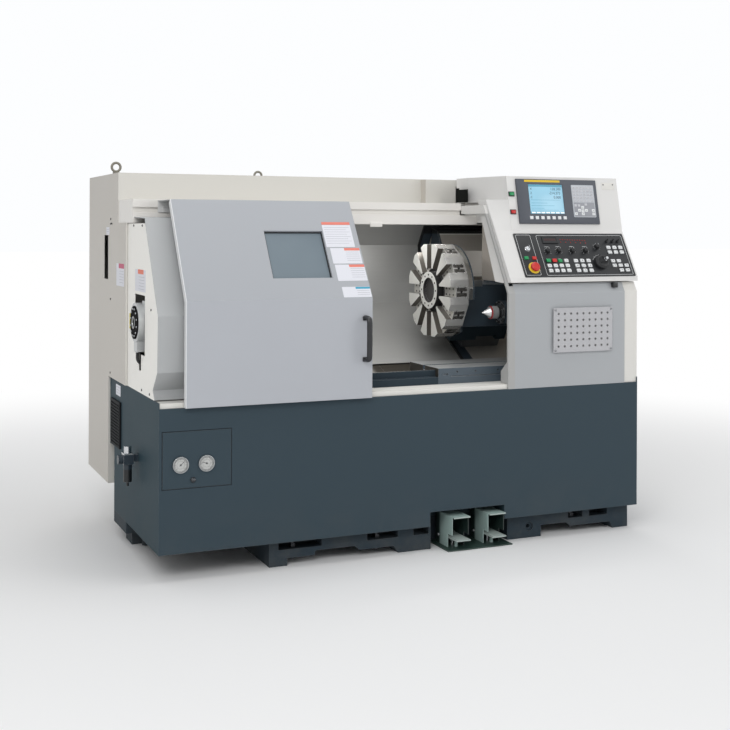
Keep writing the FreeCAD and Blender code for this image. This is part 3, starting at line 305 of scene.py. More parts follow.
# The cabinet's left side is painted darker and warmer as painted shade.
coat(enamel("cabinet_enamel", rgb(212, 210, 204), clouds=0.04, fields=[(left_faces_shaded, rgb(197, 192, 184))]),
     "rear_cabinet")
coat(enamel("cover_enamel", rgb(247, 245, 239), clouds=0.04), "left_side_cover")
coat(enamel("front_cover_enamel", rgb(176, 178, 179)), "left_front_cover")


# ---------------- bare metal
# Machined faces, stainless sheet and turned shafts. Each keeps the marks of its last tool: lines
# rolled or ground along the part, with a faint bloom of coolant over them.
tool_marks, given, result = new_group(
    "tool_marks", dict(Colour="C", Stretch="V", Depth="F", Roughness="F", Stain="F"),
    dict(Colour="C", Roughness="F", Normal="V"))
tree = tool_marks
where = on_piece(tree)
drawn = node(tree, "VectorMath", where, given["Stretch"], operation="MULTIPLY").outputs[0]
lines, stain = noise(tree, drawn, 1.0, 3.0, 0.6), noise(tree, where, 5.0, 5.0)
normal, edge = rounded_edge(tree, 0.0012)
base = shaded(tree, given["Colour"], swing(tree, lines, 0.12, swing(tree, stain, given["Stain"], 1.0)))
# The rounded edges are mixed toward a pale grey: a painted highlight.
bright = mix(tree, times(tree, edge, 0.5), base, (0.85, 0.86, 0.87, 1))
rough = swing(tree, stain, 0.2, swing(tree, lines, 0.25, given["Roughness"]))
cut = node(tree, "Bump", Strength=given["Depth"], Distance=0.0004, Height=lines, Normal=normal).outputs[0]
hand_over(tree, result, Colour=bright, Roughness=rough, Normal=cut)


def metal(name, colour, roughness=0.35, metallic=1.0, stretch=(60, 60, 60), depth=0.12, stain=0.15, fields=(),
          more_values=None):
    """Metal with tool marks. fields lay another colour, roughness and metal on zones of the piece;
    more_values works out what else those zones ask for."""
    material, tree = new_material(name)
    values = piece_values(tree) if fields else {}
    if more_values:
        values.update(more_values(tree, values))
    for zone, (zone_colour, zone_roughness, zone_metallic) in fields:
        mask = inside(tree, values, zone)
        colour = mix(tree, mask, colour, zone_colour)
        roughness = node(tree, "MapRange", mask, 0.0, 1.0, roughness, zone_roughness).outputs[0]
        metallic = node(tree, "MapRange", mask, 0.0, 1.0, metallic, zone_metallic).outputs[0]
    marks = node(tree, "Group", node_tree=tool_marks, Colour=colour, Stretch=stretch, Depth=depth,
                 Roughness=roughness, Stain=stain).outputs
    surface(tree, Base_Color=marks["Colour"], Roughness=marks["Roughness"], Normal=marks["Normal"],
            Metallic=metallic)
    return material


dark_steel = metal("dark_steel", rgb(70, 72, 75), 0.4, stretch=(120, 120, 120), depth=0.15)
coat(dark_steel, "levelling_bolts")
coat(metal("ground_steel", rgb(190, 192, 194), 0.28, stretch=(8, 400, 400), depth=0.15),
     "spindle", "ball_screw", "quill", "chuck_jaw_1", "chuck_jaw_2", "chuck_jaw_3")
coat(metal("milled_iron", rgb(150, 154, 158), 0.42, stretch=(300, 12, 300), depth=0.15, stain=0.25),
     "saddle", "spindle_pulley", "motor_pulley")
coat(metal("bright_steel", rgb(214, 216, 218), 0.22, stretch=(90, 90, 90), depth=0.05),
     "chuck_body", "door_handle", "pressure_gauges")
coat(enamel("cast_grey_paint", rgb(150, 152, 150), peel=0.6, clouds=0.2, roughness=0.6), "headstock")


# ---------------- gauge hatch in the front of the base
# A loose door of 3 mm sheet with two hydraulic gauges let into it and a turn latch. The gauges have
# steel cases with a dark rolled rim and a white dial under glass.
machine = Matrix.Translation(Vector((-1.05, -0.65875, 0)))
MM = 0.001


def shift(x, y, z=0.0):
    """A move in millimetres."""
    return Matrix.Translation(Vector((x, y, z)) * MM)


def spin(angle, axis="Z"):
    """A turn in degrees."""
    return Matrix.Rotation(radians(angle), 4, axis)


def facing(turn, x, y, z, slope=90):
    """A place on a face of the machine: X across it, Y up it and Z out of it. turn is 0 for the
    front, -90 for the left, 90 for the right and 180 for the rear. Millimetres from the left front foot."""
    return machine @ shift(x, y, z) @ spin(turn) @ spin(slope, "X")


def clear():
    bpy.ops.object.select_all(action="DESELECT")


def mode(name):
    bpy.ops.object.mode_set(mode=name)


def select_mesh(action="SELECT"):
    bpy.ops.mesh.select_all(action=action)


def fix():
    """Writes the place, turn and size of what is selected into its mesh."""
    bpy.ops.object.transform_apply(location=True, rotation=True, scale=True)


def begin():
    """Begins the shaping of a new primitive, which is selected all over."""
    fix()
    mode("EDIT")
    select_mesh()
    return bpy.context.object.data


def leave():
    """Ends the shaping of a mesh, with its faces turned outwards."""
    select_mesh()
    bpy.ops.mesh.normals_make_consistent(inside=False)
    mode("OBJECT")
    return bpy.context.object


def lift(height, extrude=bpy.ops.mesh.extrude_region_move):
    """Draws what is selected out along Z, by millimetres."""
    extrude(TRANSFORM_OT_translate={"value": (0, 0, height * MM)})


def cube(low, high):
    """A plain block between two corners in millimetres."""
    clear()
    bpy.ops.mesh.primitive_cube_add(size=1, location=[(a + b) / 2 * MM for a, b in zip(low, high)],
                                    scale=[(b - a) * MM for a, b in zip(low, high)])
    return begin()


def pick_top(mesh):
    """Selects the faces of a block that look up."""
    mode("OBJECT")
    for p in mesh.polygons:
        p.select = p.normal.z > 0.9
    mode("EDIT")


def pick_edges(mesh, chosen):
    """Selects the edges whose two ends pass a test."""
    mode("OBJECT")
    for e in mesh.edges:
        e.select = chosen(*(mesh.vertices[i].co for i in e.vertices))
    mode("EDIT")
    bpy.ops.mesh.select_mode(type="EDGE")


def round_off(radius, steps):
    bpy.ops.mesh.bevel(offset=radius * MM, segments=steps, affect="EDGES")


def block(low, high, rim=0.0, steps=2, upright=None):
    """A block between two corners in millimetres. rim rounds its edges; upright rounds only the
    edges along local Z, for a plate with round corners."""
    mesh = cube(low, high)
    if upright:
        select_mesh("DESELECT")
        pick_edges(mesh, lambda a, b: abs(a.z - b.z) > 1e-6)
        round_off(upright, 5)
        if rim:
            bpy.ops.mesh.select_mode(type="FACE")
            pick_top(mesh)
            bpy.ops.mesh.region_to_loop()
    if rim:
        round_off(rim, steps)
    return leave()


def turned(steps, sides=40, at=(0, 0), hollow=False):
    """A part turned on local Z from (height, radius) steps in millimetres. hollow leaves both ends open."""
    clear()
    x, y = at[0] * MM, at[1] * MM
    height, radius = steps[0]
    bpy.ops.mesh.primitive_circle_add(vertices=sides, radius=radius * MM, location=(x, y, height * MM),
                                      fill_type="NOTHING" if hollow else "NGON")
    begin()
    extrude = bpy.ops.mesh.extrude_edges_move if hollow else bpy.ops.mesh.extrude_region_move
    for next_height, next_radius in steps[1:]:
        lift(next_height - height, extrude)
        scale = next_radius / radius
        bpy.ops.transform.resize(value=(scale, scale, 1), center_override=(x, y, next_height * MM))
        height, radius = next_height, next_radius
    if hollow:
        select_mesh()
        bpy.ops.mesh.remove_doubles(threshold=1e-6)
    return leave()


def settle(piece, name, material, place=machine, body="frame", smooth=40, stands_for=()):
    """Lays a finished piece in its place in its own mesh, gives it its finish and lets it ride."""
    clear()
    piece.select_set(True)
    bpy.context.view_layer.objects.active = piece
    piece.matrix_world = place @ piece.matrix_world
    fix()
    if smooth:
        bpy.ops.object.shade_smooth_by_angle(angle=radians(smooth))
    piece.name = name
    piece.data.materials.clear()
    piece.data.materials.append(material)
    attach(piece, body)
    if stands_for:
        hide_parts(*stands_for)


def moved(piece, place):
    piece.matrix_world = place
    return piece


def joined(*parts):
    clear()
    for part in parts:
        part.select_set(True)
    bpy.context.view_layer.objects.active = parts[0]
    bpy.ops.object.join()
    return bpy.context.object


def copies(pattern, places):
    """Copies a finished pattern to each place (a Matrix, or millimetres), and joins them to one piece."""
    made = []
    for place in places:
        copy = pattern.copy()
        copy.data = pattern.data.copy()
        bpy.context.scene.collection.objects.link(copy)
        made.append(moved(copy, place if isinstance(place, Matrix) else shift(*place)))
    bpy.data.objects.remove(pattern)
    return joined(*made)


def plain(name, colour, roughness=0.5, metallic=0.0, grain=0.06, scale=400.0, **more):
    """A small part's finish: moulded plastic, print or plating, with a faint grain."""
    material, tree = new_material(name)
    fine = noise(tree, on_piece(tree), scale, 2.0)
    bump = node(tree, "Bump", Strength=0.1, Distance=0.0002, Height=fine).outputs[0]
    surface(tree, Base_Color=shaded(tree, colour[:3], swing(tree, fine, grain, 1.0)),
            Roughness=swing(tree, fine, 0.12, roughness), Normal=bump, Metallic=metallic, **more)
    return material


chrome = plain("chrome_plate", rgb(222, 224, 226), 0.18, 1.0)
dial_white = plain("dial_white", rgb(190, 191, 189), 0.4)
print_black = plain("black_print", rgb(22, 23, 25))
black_moulding = plain("black_moulding", rgb(28, 29, 31), 0.42, scale=900.0)
case_steel = plain("gauge_case_steel", rgb(150, 152, 152), 0.3, 1.0)
needle_dark = plain("needle_dark", rgb(42, 44, 48), 0.45)

gauge_places = ((84, 444), (185, 444))
hatch = facing(0, 0, 0, 0)
gauge_rim = turned([(0.1, 31.4), (6, 31.4), (8.4, 29.8), (8.4, 26.2), (4.2, 25.6), (4.2, 0.5)], 64)
settle(copies(gauge_rim, gauge_places), "gauge_rims", case_steel, hatch, "gauge_hatch")
DIAL, PRINT = 4.6, 4.8  # heights of the dial's face and of the print on it
dial = turned([(4.3, 25.5), (DIAL, 25.5), (DIAL, 0.4)], 64)
settle(copies(dial, gauge_places), "gauge_dials", dial_white, hatch, "gauge_hatch")
scale_marks = []
for centre in gauge_places:
    for i in range(31):
        half, inner = (0.25, 20.6) if i % 5 else (0.5, 18.4)
        scale_marks.append(moved(block((-half, inner, DIAL), (half, 23.6, PRINT)),
                                 shift(*centre) @ spin(135 - 9 * i)))
    for outer in (23.9, 15.2):
        ring = [(DIAL, outer), (PRINT, outer), (PRINT, outer - 0.45), (DIAL, outer - 0.45)]
        scale_marks.append(moved(turned(ring, 64, hollow=True), shift(*centre)))
settle(joined(*scale_marks), "gauge_scales", print_black, hatch, body="gauge_hatch")
needles = [moved(joined(block((-0.7, -6, 5.2), (0.7, 19, 5.8), 0.2),
                        turned([(4.8, 3), (6.2, 3), (6.8, 2), (6.8, 0.3)], 24)), shift(*centre) @ spin(angle))
           for centre, angle in zip(gauge_places, (-48, 72))]
settle(joined(*needles), "gauge_needles", needle_dark, hatch, body="gauge_hatch")
latch = joined(turned([(0, 10.5), (2, 10.5), (3, 9.6), (6.5, 9.0), (7.6, 7.6), (7.6, 0.4)], 32),
               block((-7.2, -1.2, 7.4), (7.2, 1.2, 9.0), 0.5))
settle(latch, "hatch_latch", dark_steel, hatch @ shift(133, 384), "gauge_hatch")


# ---------------- operator's console: display
# The control unit is a slate moulding with a recessed screen, a pale membrane keypad and a row of soft
# keys, screwed to the sloping upper face of the cream housing. Two square lamps sit left of it.
def face_slope(low, high):
    return degrees(atan2(high[1] - low[1], high[0] - low[0]))


lip, knee, crest = (0, 1132), (118, 1335), (168, 1577)
display = facing(0, 0, *knee, face_slope(knee, crest))
panel = facing(0, 0, *lip, face_slope(lip, knee))


def frame_block(outer, opening, low, high, rim, floor):
    """A plate of local corners (x0, y0, x1, y1) with an opening sunk into it down to floor, its outer
    and inner edges rounded."""
    mesh = cube((*outer[:2], low), (*outer[2:], high))
    bpy.ops.mesh.select_mode(type="FACE")
    select_mesh("DESELECT")
    pick_top(mesh)
    bpy.ops.mesh.inset(thickness=0.001)
    mode("OBJECT")
    middle = [(outer[axis] + outer[axis + 2]) / 2 * MM for axis in (0, 1)]
    for i in next(p for p in mesh.polygons if p.select).vertices:
        corner = mesh.vertices[i].co
        x, y = (opening[axis if corner[axis] < middle[axis] else axis + 2] for axis in (0, 1))
        mesh.vertices[i].co = (x * MM, y * MM, high * MM)
    mode("EDIT")
    lift(floor - high)
    top = (high - 0.01) * MM
    pick_edges(mesh, lambda a, b: min(a.z, b.z) > top and (abs(a.x - b.x) < 1e-6 or abs(a.y - b.y) < 1e-6))
    round_off(rim, 3)
    return leave()


def rounded_outline(corners, line, corner, height, low=0.0):
    """A thin printed line round a field (x0, y0, x1, y1), with round corners."""
    clear()
    x0, y0, x1, y1 = corners
    bpy.ops.mesh.primitive_plane_add(size=1, location=((x0 + x1) / 2 * MM, (y0 + y1) / 2 * MM, low * MM))
    bpy.ops.transform.resize(value=((x1 - x0) * MM, (y1 - y0) * MM, 1))
    begin()
    bpy.ops.mesh.select_mode(type="VERT")
    bpy.ops.mesh.bevel(offset=corner * MM, segments=5, affect="VERTICES")
    bpy.ops.mesh.select_mode(type="FACE")
    select_mesh()
    bpy.ops.mesh.inset(thickness=line * MM)
    bpy.ops.mesh.delete(type="FACE")
    select_mesh()
    lift(height)
    return leave()


def words(text, x, y, z, size):
    """Raised figures on a screen or a dial, as a mesh."""
    clear()
    bpy.ops.object.text_add()
    made = bpy.context.object
    made.data.body = text
    made.data.size = size * MM
    made.data.extrude = 0.05 * MM
    bpy.ops.object.convert(target="MESH")
    return moved(made, shift(x, y, z))


def key_cap(wide, tall, high, rim=1.0):
    """One key: a block whose top is drawn in and slightly dished."""
    cap = block((-wide / 2, -tall / 2, 0), (wide / 2, tall / 2, high), rim)
    for v in cap.data.vertices:
        if v.co.z > (high - rim - 0.01) * MM:
            v.co.x *= 0.9
            v.co.y *= 0.88
    return cap


def set_out(name, finish, pattern, places, height, face):
    """Copies of one part at a height above the face that carries them."""
    settle(copies(pattern, [(*place, height) for place in places]), name, finish, face)


def dashes(places, half_wide, half_tall, low, high, rise=0.0):
    """Printed dashes of one size, each centred rise above its place."""
    return [block((x - half_wide, y + rise - half_tall, low), (x + half_wide, y + rise + half_tall, high))
            for x, y in places]


def printed(name, ink, face, marks):
    """Printed marks of one colour, as one thin piece."""
    settle(joined(*marks), name, ink, face, smooth=0)


def glowing(name, colour, strength):
    """A lit screen or lamp: its colour shines a little through a glossy lens."""
    material, tree = new_material(name)
    patch = noise(tree, on_piece(tree), 9.0, 1.0)
    tint = shaded(tree, colour[:3], maths(tree, "MULTIPLY_ADD", patch, 0.25, 0.88))
    surface(tree, Base_Color=tint, Roughness=0.18, Emission_Color=tint, Emission_Strength=strength)
    return material


slate_moulding = plain("slate_moulding", rgb(76, 80, 88), scale=1200.0)
key_white = plain("white_keys", rgb(226, 228, 229), 0.4, scale=900.0)
membrane_grey = plain("keypad_membrane", rgb(186, 190, 196), scale=900.0)
field_grey = plain("keypad_field", rgb(150, 152, 158))
pad_grey = plain("pad_grey", rgb(196, 197, 202))
lamp_green = plain("green_button", rgb(28, 142, 84), 0.35)
lamp_red = plain("red_button", rgb(196, 44, 40), 0.35)
yellow_print = plain("yellow_print", rgb(226, 190, 40))
screen_ink = plain("screen_ink", rgb(22, 52, 84), 0.3)
screen_blue = glowing("screen_blue", rgb(140, 186, 206), 0.28)
screen_teal = glowing("screen_teal", rgb(52, 128, 152), 0.3)
screen_light = glowing("screen_light", rgb(226, 238, 244), 0.35)

bezel = frame_block((1638.5, 30.5, 2058.5, 233.5), (1697.5, 74.5, 1876.5, 210.5), 0.1, 10.4, 2.6, floor=7.2)
settle(bezel, "display_bezel", slate_moulding, display, stands_for=("display_unit",))
SCREEN = 7.8  # height of the screen's glass above the housing; its picture lies on it
settle(block((1698, 75, 7.2), (1876, 210, SCREEN), 0.2), "display_screen", screen_blue, display)
bars = [block((1699, low, SCREEN), (1875, high, 8.0)) for low, high in ((199, 209), (76, 85))]
bars += [block((1706, y, SCREEN), (1706 + wide, y + 1.1, 7.9))
         for y, wide in ((138, 150), (124, 84), (112, 120), (100, 66), (92, 140))]
printed("screen_bars", screen_teal, display, bars)
figures = []
for y, axis, value, x in ((184, "X", "128.500", 1812), (165, "Z", "-214.375", 1803), (146, "C", "0.000", 1826)):
    figures += [words(axis, 1706, y, 8.0, 14), words(value, x, y, 8.0, 17)]
printed("screen_figures", screen_ink, display, figures)
printed("screen_labels", screen_light, display,
        [block((1704 + 25 * i, 78, 8.0), (1724 + 25 * i, 83.5, 8.15)) for i in range(7)])
settle(block((1679, 219.5, 10.3), (1864, 229, 10.8), 0.15), "display_strip", yellow_print, display)
set_out("soft_keys", key_white, key_cap(17, 14.5, 2.6, 0.8), [(1699 + 29 * i, 57) for i in range(7)], 10.2,
        display)
MEMBRANE = 12.1  # height of the keypad's membrane
settle(block((1921.5, 60.5, 10.2), (2040.5, 209.5, MEMBRANE), 0.5, upright=4), "keypad_membrane",
       membrane_grey, display)
settle(block((1926, 64, MEMBRANE), (2036, 128, 12.4), 0.1), "keypad_field", field_grey, display)
pads = [(1934 + 18.6 * i, 197 - 15.2 * j) for j in range(5) for i in range(6)]
shifts = [(1934, 114), (1952.6, 114), (1989.8, 119)]
arrows = [(1971, 90), (1952.6, 92), (1989.8, 92), (1971.2, 106), (1971.2, 76), (1934, 76), (2027, 76), (2027, 92)]
for keys_name, finish, size, places, height in (
        ("keypad_keys", pad_grey, (14.5, 11.5), pads, 12.0), ("arrow_keys", key_white, (15, 12.5), arrows, 12.3),
        ("shift_keys", pad_grey, (13, 11), shifts, 12.3)):
    set_out(keys_name, finish, key_cap(*size, 1.6, 0.5), places, height, display)
printed("keypad_legends", print_black, display,
        dashes(pads, 2.4, 0.5, 13.58, 13.72) + dashes(arrows, 3, 0.8, 13.88, 14.0))
for lamp_name, y, finish in (("ready_lamp", 165, lamp_green), ("fault_lamp", 84, lamp_red)):
    socket = block((1598, y - 11, 0.1), (1628, y + 11, 3.2), 1)
    settle(socket, lamp_name + "_socket", black_moulding, display)
    settle(moved(key_cap(22, 15, 6, 1.2), shift(1613, y, 2.6)), lamp_name, finish, display)
settle(block((2096, 193, 0.1), (2163, 225, 1.2), 0.3, upright=3), "blank_plate", cream, display)
set_out("blank_plate_screws", dark_steel, turned([(0, 3.2), (1.0, 3.2), (1.8, 2.2), (1.8, 0.4)], 20),
        [(2104, 216), (2156, 217)], 1.1, display)


# ---------------- operator's console: key panel
# A black anodised plate with white printed fields, pushed in keys, selector knobs, toggles and lamps.
# The mushroom stop, the two first keys and the handwheel move; all others are part of the plate.
panel_black = plain("anodised_black", rgb(24, 26, 29), 0.38, scale=1500.0)
ink_white = plain("white_print", rgb(216, 218, 218))
lamp_dull = plain("lamp_dull", rgb(66, 30, 30), 0.3)
lamp_lens = glowing("red_lamp_lens", rgb(168, 44, 40), 0.15)

PLATE, INK = 4.1, 4.3  # heights of the plate's face and of the print on it
settle(block((1595.6, 1.6, 0.1), (2170, 218.4, PLATE), 0.6, upright=5), "key_plate", panel_black,
       panel, stands_for=("key_panel",))
main_keys = [(1732 + 31 * i, 80 - 24.5 * j) for j in range(3) for i in range(4)]
side_keys = [(1875 + 33 * i, 79 - 24.5 * j) for j in range(3) for i in range(3)]
upper_keys = [(2070 + 32 * i, 145 - 24 * j) for j in range(2) for i in range(3)]
corner_keys = [(2071, 77), (2102, 77), (2072, 54), (2104, 54), (2136, 54), (2102, 30), (2134, 30)]
white_keys = main_keys[3:] + side_keys + upper_keys + corner_keys
knobs = [(1745, 129), (1803, 130), (1873, 130), (1942, 130), (2009, 149)]
stop_at, wheel_at = (1651, 46), (2004, 69)
marks = [rounded_outline(field, 1.4, 7, 0.25, PLATE) for field in ((1603, 10, 1678, 211), (1707, 8, 2159, 209))]
marks += [moved(block((-0.45, 14.2, PLATE), (0.45, 17.6 if i % 2 else 18.8, INK)),
                shift(*knob) @ spin(132 - 33 * i)) for knob in knobs for i in range(9)]
marks += [moved(block((-0.6, 36.0, PLATE), (0.6, 39.5 if i % 3 else 41.5, INK)),
                shift(*wheel_at) @ spin(7.2 * i)) for i in range(-9, 10)]
marks += dashes(main_keys + side_keys + upper_keys, 8, 0.6, PLATE, INK, rise=10.2)
marks += dashes(knobs[:4], 10, 0.7, PLATE, INK, rise=21.7)
printed("panel_print", ink_white, panel, marks)
big_cap = (20.6, 15.6, 5.6, 1.4)
set_out("white_key_caps", key_white, key_cap(*big_cap), white_keys, 3.8, panel)
printed("key_legends", print_black, panel, dashes(white_keys, 4, 0.8, 9.36, 9.5)
        + dashes(side_keys[1::2] + corner_keys[::2], 0.8, 3.4, 9.36, 9.5))
green_places = [main_keys[2], (1626, 95)]
set_out("green_key_caps", lamp_green, key_cap(*big_cap), green_places, 3.8, panel)
set_out("red_key_cap", lamp_red, key_cap(*big_cap), [(1666, 94)], 3.8, panel)
for button, place, finish in (("cycle_start", main_keys[0], lamp_green), ("feed_hold", main_keys[1], lamp_red)):
    coat(finish, button)
    settle(moved(key_cap(*big_cap), shift(*place, 6.8)), button + "_cap", finish, panel, body=button)
knob = joined(turned([(0, 13), (1.4, 13), (1.4, 11.4), (12, 10.4), (14.5, 9.4), (15.4, 8.0), (15.4, 0.4)], 36),
              block((-2.6, -10.6, 3), (2.6, 11.6, 17.2), 1.0))
set_out("selector_knobs", black_moulding, knob, knobs, 4, panel)
printed("knob_pointers", ink_white, panel, dashes(knobs, 0.6, 4, 21.1, 21.4, rise=7))
toggles = ((2071, 178), (2102, 178), (2131, 178))
bushing = turned([(0, 8), (1.2, 8), (1.2, 6.2), (5.2, 6.2), (5.2, 4.6), (4.2, 4.0), (4.2, 0.4)], 24)
set_out("toggle_bushings", black_moulding, bushing, toggles, 4, panel)
bat = turned([(0, 1.7), (9, 2.2), (14, 3.1), (16, 2.7), (16.8, 1.4), (16.8, 0.3)], 20)
settle(copies(bat, [shift(x, y, 6) @ spin(-20, "X") for x, y in toggles]), "toggle_bats", black_moulding,
       panel)
lamps = [(1827 + 12.8 * i, 187 - 0.5 * i) for i in range(11)]
lamps += [(1827 + 12.8 * i, 174 - 0.5 * i) for i in range(0, 11, 2)]
set_out("panel_lamps", lamp_lens, turned([(0, 2.0), (1.2, 2.0), (2.0, 1.5), (2.4, 0.8), (2.4, 0.2)], 16), lamps,
        4, panel)
meter = frame_block((1733, 168, 1812, 203), (1740, 174, 1805, 197), 4.0, 8.0, 0.8, floor=6.0)
settle(meter, "load_meter", black_moulding, panel)
segments = [block((1743 + 5.9 * i, 180, 6.0), (1746.5 + 5.9 * i, 191, 6.4), 0.2) for i in range(10)]
settle(joined(*segments), "meter_segments", lamp_dull, panel)
lock = joined(turned([(0, 12), (2, 12), (3, 10.8), (8, 10.4), (9, 9.4), (9, 0.4)], 36),
              block((-0.9, -6, 8.6), (0.9, 6, 10.4), 0.3), block((-1.1, -6.5, 9), (1.1, 6.5, 22), 0.6))
settle(moved(lock, shift(1645, 140, 4)), "key_switch", chrome, panel)
stop_ring = turned([(4.0, 27), (5.6, 27), (6.4, 25.8), (6.4, 13), (4.4, 12.5), (4.4, 0.4)], 48, stop_at)
settle(stop_ring, "stop_ring", yellow_print, panel)
coat(lamp_red, "e_stop")
mushroom = turned([(11.5, 11.2), (12, 20.2), (15, 21.2), (19.5, 20.4), (22.2, 16.5), (23.6, 9), (23.8, 0.6)], 48,
                  stop_at)
settle(mushroom, "stop_mushroom", lamp_red, panel, "e_stop")
coat(black_moulding, "handwheel")
wheel = turned([(4.7, 33.4), (14, 33.4), (16.6, 32.6), (17.4, 30), (17.4, 27), (25.4, 26.6), (25.9, 25),
                (24.6, 22), (24.6, 0.6)], 72, wheel_at)
for v in wheel.data.vertices:
    arm = v.co.xy - Vector(wheel_at) * MM
    if arm.length > 0.0328 and v.co.z < 0.0145 and round(degrees(atan2(arm.y, arm.x)) / 5) % 2:
        v.co.xy -= arm * 0.035
settle(wheel, "handwheel_rim", black_moulding, panel, "handwheel", smooth=30)
crank = turned([(24, 7), (25, 7), (26, 4), (29, 4), (30, 6.4), (36.5, 6.8), (38.5, 5.4), (39, 3), (39, 0.3)], 28,
               (2021, 77))
settle(crank, "handwheel_crank", chrome, panel, body="handwheel")


# ---------------- chamber, way covers and trough
# The chamber is lined with stainless sheet, rolled along the bed and dulled by coolant. A rubber
# wiper seals the carriage guard, whose first hand's breadth is painted like the castings.
slate_paint = (rgb(54, 65, 74), 0.5, 0.0)
PAINT_END = 0.620  # where the painted part of the guard ends
coat(metal("guard_sheet", rgb(196, 191, 184), 0.34, 0.5, stretch=(4, 260, 260), stain=0.12, fields=[
    (dict(x=below(PAINT_END)), slate_paint),
    # Near its top the guard has a pale band as a painted highlight, and above it a near-black band as painted
    # shade under the canopy.
    (dict(z=above(1.312), x=above(PAINT_END)), (rgb(238, 236, 230), 0.4, 0.1)),
    (dict(z=above(1.317)), (rgb(24, 25, 26), 0.6, 0.0))]), "carriage_guard")
wiper_rubber = plain("wiper_rubber", rgb(24, 25, 27), 0.6, scale=700.0)
coat(wiper_rubber, "guard_seal")
# The way's left end face is painted near black as painted shade; its machined top is bare.
coat(metal("way_metal", rgb(72, 84, 94), 0.5, 0.0, stretch=(8, 300, 300), stain=0.2, fields=[
    (dict(face_z=above(0.7, TURN)), (rgb(188, 190, 190), 0.4, 0.6)),
    (left_faces_shaded, (rgb(46, 43, 38), 0.6, 0.0))]), "tailstock_way")
# The trough is painted dark to the right as painted shade, where the view falls into its outlet.
coat(metal("trough_steel", rgb(216, 213, 206), 0.5, 0.1, stretch=(5, 120, 120), stain=0.25, fields=[
    (dict(x=above(0.07, 0.03)), (rgb(60, 56, 49), 0.5, 0.2))]), "chip_trough")
coat(metal("chamber_lining", rgb(187, 187, 185), 0.4, 0.45, stretch=(4, 200, 200), stain=0.08, depth=0.1),
     "headstock_bulkhead", "left_way_cover", "right_way_cover", "sliding_way_cover", "right_middle_cover")
# The console's left wall below the canopy is painted grey as painted shade.
coat(enamel("console_enamel", rgb(219, 218, 216), clouds=0.04, fields=[
    (dict(**left_faces_shaded, x=above(0.543), z=below(1.36)), rgb(160, 153, 145))]), "console_housing")
coat(enamel("sill_enamel", rgb(228, 226, 220)), "sill")


# Cap screws hold the tailstock's way; the same heads hold the sheets and plates further on.
def screws(name, places, radius, height, material, body="frame", recess=0.5):
    """Round screw heads, each on the local Z of its place and with a socket in it."""
    head = turned([(0.05, radius), (height * 0.75, radius), (height, radius * 0.86), (height, radius * recess),
                   (height * 0.35, radius * recess * 0.9), (height * 0.35, 0.1)], 20)
    settle(copies(head, places), name, material, Matrix(), body)


screw_steel = plain("screw_steel", rgb(150, 152, 154), 0.3, 1.0)
screw_dark = plain("screw_black_oxide", rgb(44, 45, 47), 0.4, 0.6)
screws("way_screws", [facing(0, x, 121, 728) for x in (1330, 1420, 1530)], 3.6, 2.2, screw_dark)


# ---------------- tool turret
# A ground steel disc with twelve tool slots. The faces shine, the slot walls are painted dark as
# painted shade, and the hub stands in a black recess behind a ring of screws.
turret_axis = (493.4, 1059.25)
turret_front = facing(-90, 1378, *turret_axis)
turret_y, turret_z = turret_front.translation.yz
slot_floor, hub_front, recess_reach = 0.3595, 0.328, 0.1035  # metres: two depths along X and a radius


def turret_values(tree, values):
    """reach: distance from the turret's axis. aside: how far a face looks round the axis instead of
    along or away from it. off_slot: angle from the middle of the nearest slot, in radians."""
    out_y = maths(tree, "SUBTRACT", values["y"], turret_y)
    out_z = maths(tree, "SUBTRACT", values["z"], turret_z)
    reach = maths(tree, "SQRT", maths(tree, "ADD", times(tree, out_y, out_y), times(tree, out_z, out_z)))
    turn = maths(tree, "SUBTRACT", times(tree, values["face_y"], out_z), times(tree, values["face_z"], out_y))
    return dict(reach=reach, aside=maths(tree, "DIVIDE", maths(tree, "ABSOLUTE", turn), reach),
                off_slot=maths(tree, "PINGPONG", maths(tree, "ARCTAN2", out_z, out_y), radians(15)))


disc_front = dict(face_x=below(-0.9, 0.02))
# The rim has two dark ground pockets behind each slot, with a bright rib between them.
rim_pockets = dict(off_slot=between(0.014, 0.094, 0.003), reach=above(0.1996), x=between(0.362, 0.415))
# The slot side walls are painted dark as painted shade.
shaded_slot_walls = dict(aside=above(0.55, 0.05), x=below(slot_floor + 0.004), reach=above(recess_reach))
slot_floors = dict(x=between(hub_front + 0.012, slot_floor + 0.0006), **disc_front, reach=above(recess_reach))
# The bolt holes are painted near black as painted shade inside them.
bolt_holes = dict(x=between(slot_floor + 0.0007, 0.422), reach=below(0.1995))
hub_recess = dict(x=above(hub_front + 0.0005), reach=below(recess_reach + 0.0001))
coat(metal("turret_steel", rgb(214, 213, 210), 0.2, 0.7, stretch=(30, 40, 40), stain=0.22, depth=0.08,
           more_values=turret_values, fields=[
    (disc_front, (rgb(226, 225, 220), 0.34, 0.45)), (rim_pockets, (rgb(96, 94, 91), 0.3, 0.8)),
    (shaded_slot_walls, (rgb(104, 100, 94), 0.4, 0.5)), (slot_floors, (rgb(206, 204, 198), 0.34, 0.5)),
    (bolt_holes, (rgb(30, 30, 31), 0.6, 0.0)), (hub_recess, (rgb(26, 25, 25), 0.55, 0.0)),
    (dict(reach=below(0.0573)), (rgb(52, 50, 50), 0.5, 0.0))]), "turret_disc")
coat(metal("turret_back", rgb(54, 65, 74), 0.42, 0.0, fields=[
    (dict(x=below(0.446)), (rgb(200, 199, 195), 0.2, 1.0))]), "turret_body")


def ring_of(place, radius, count, start=0.0):
    """Places evenly round a circle, all turned alike."""
    angles = [radians(start + 360 * i / count) for i in range(count)]
    return [place @ shift(radius * cos(a), radius * sin(a)) for a in angles]


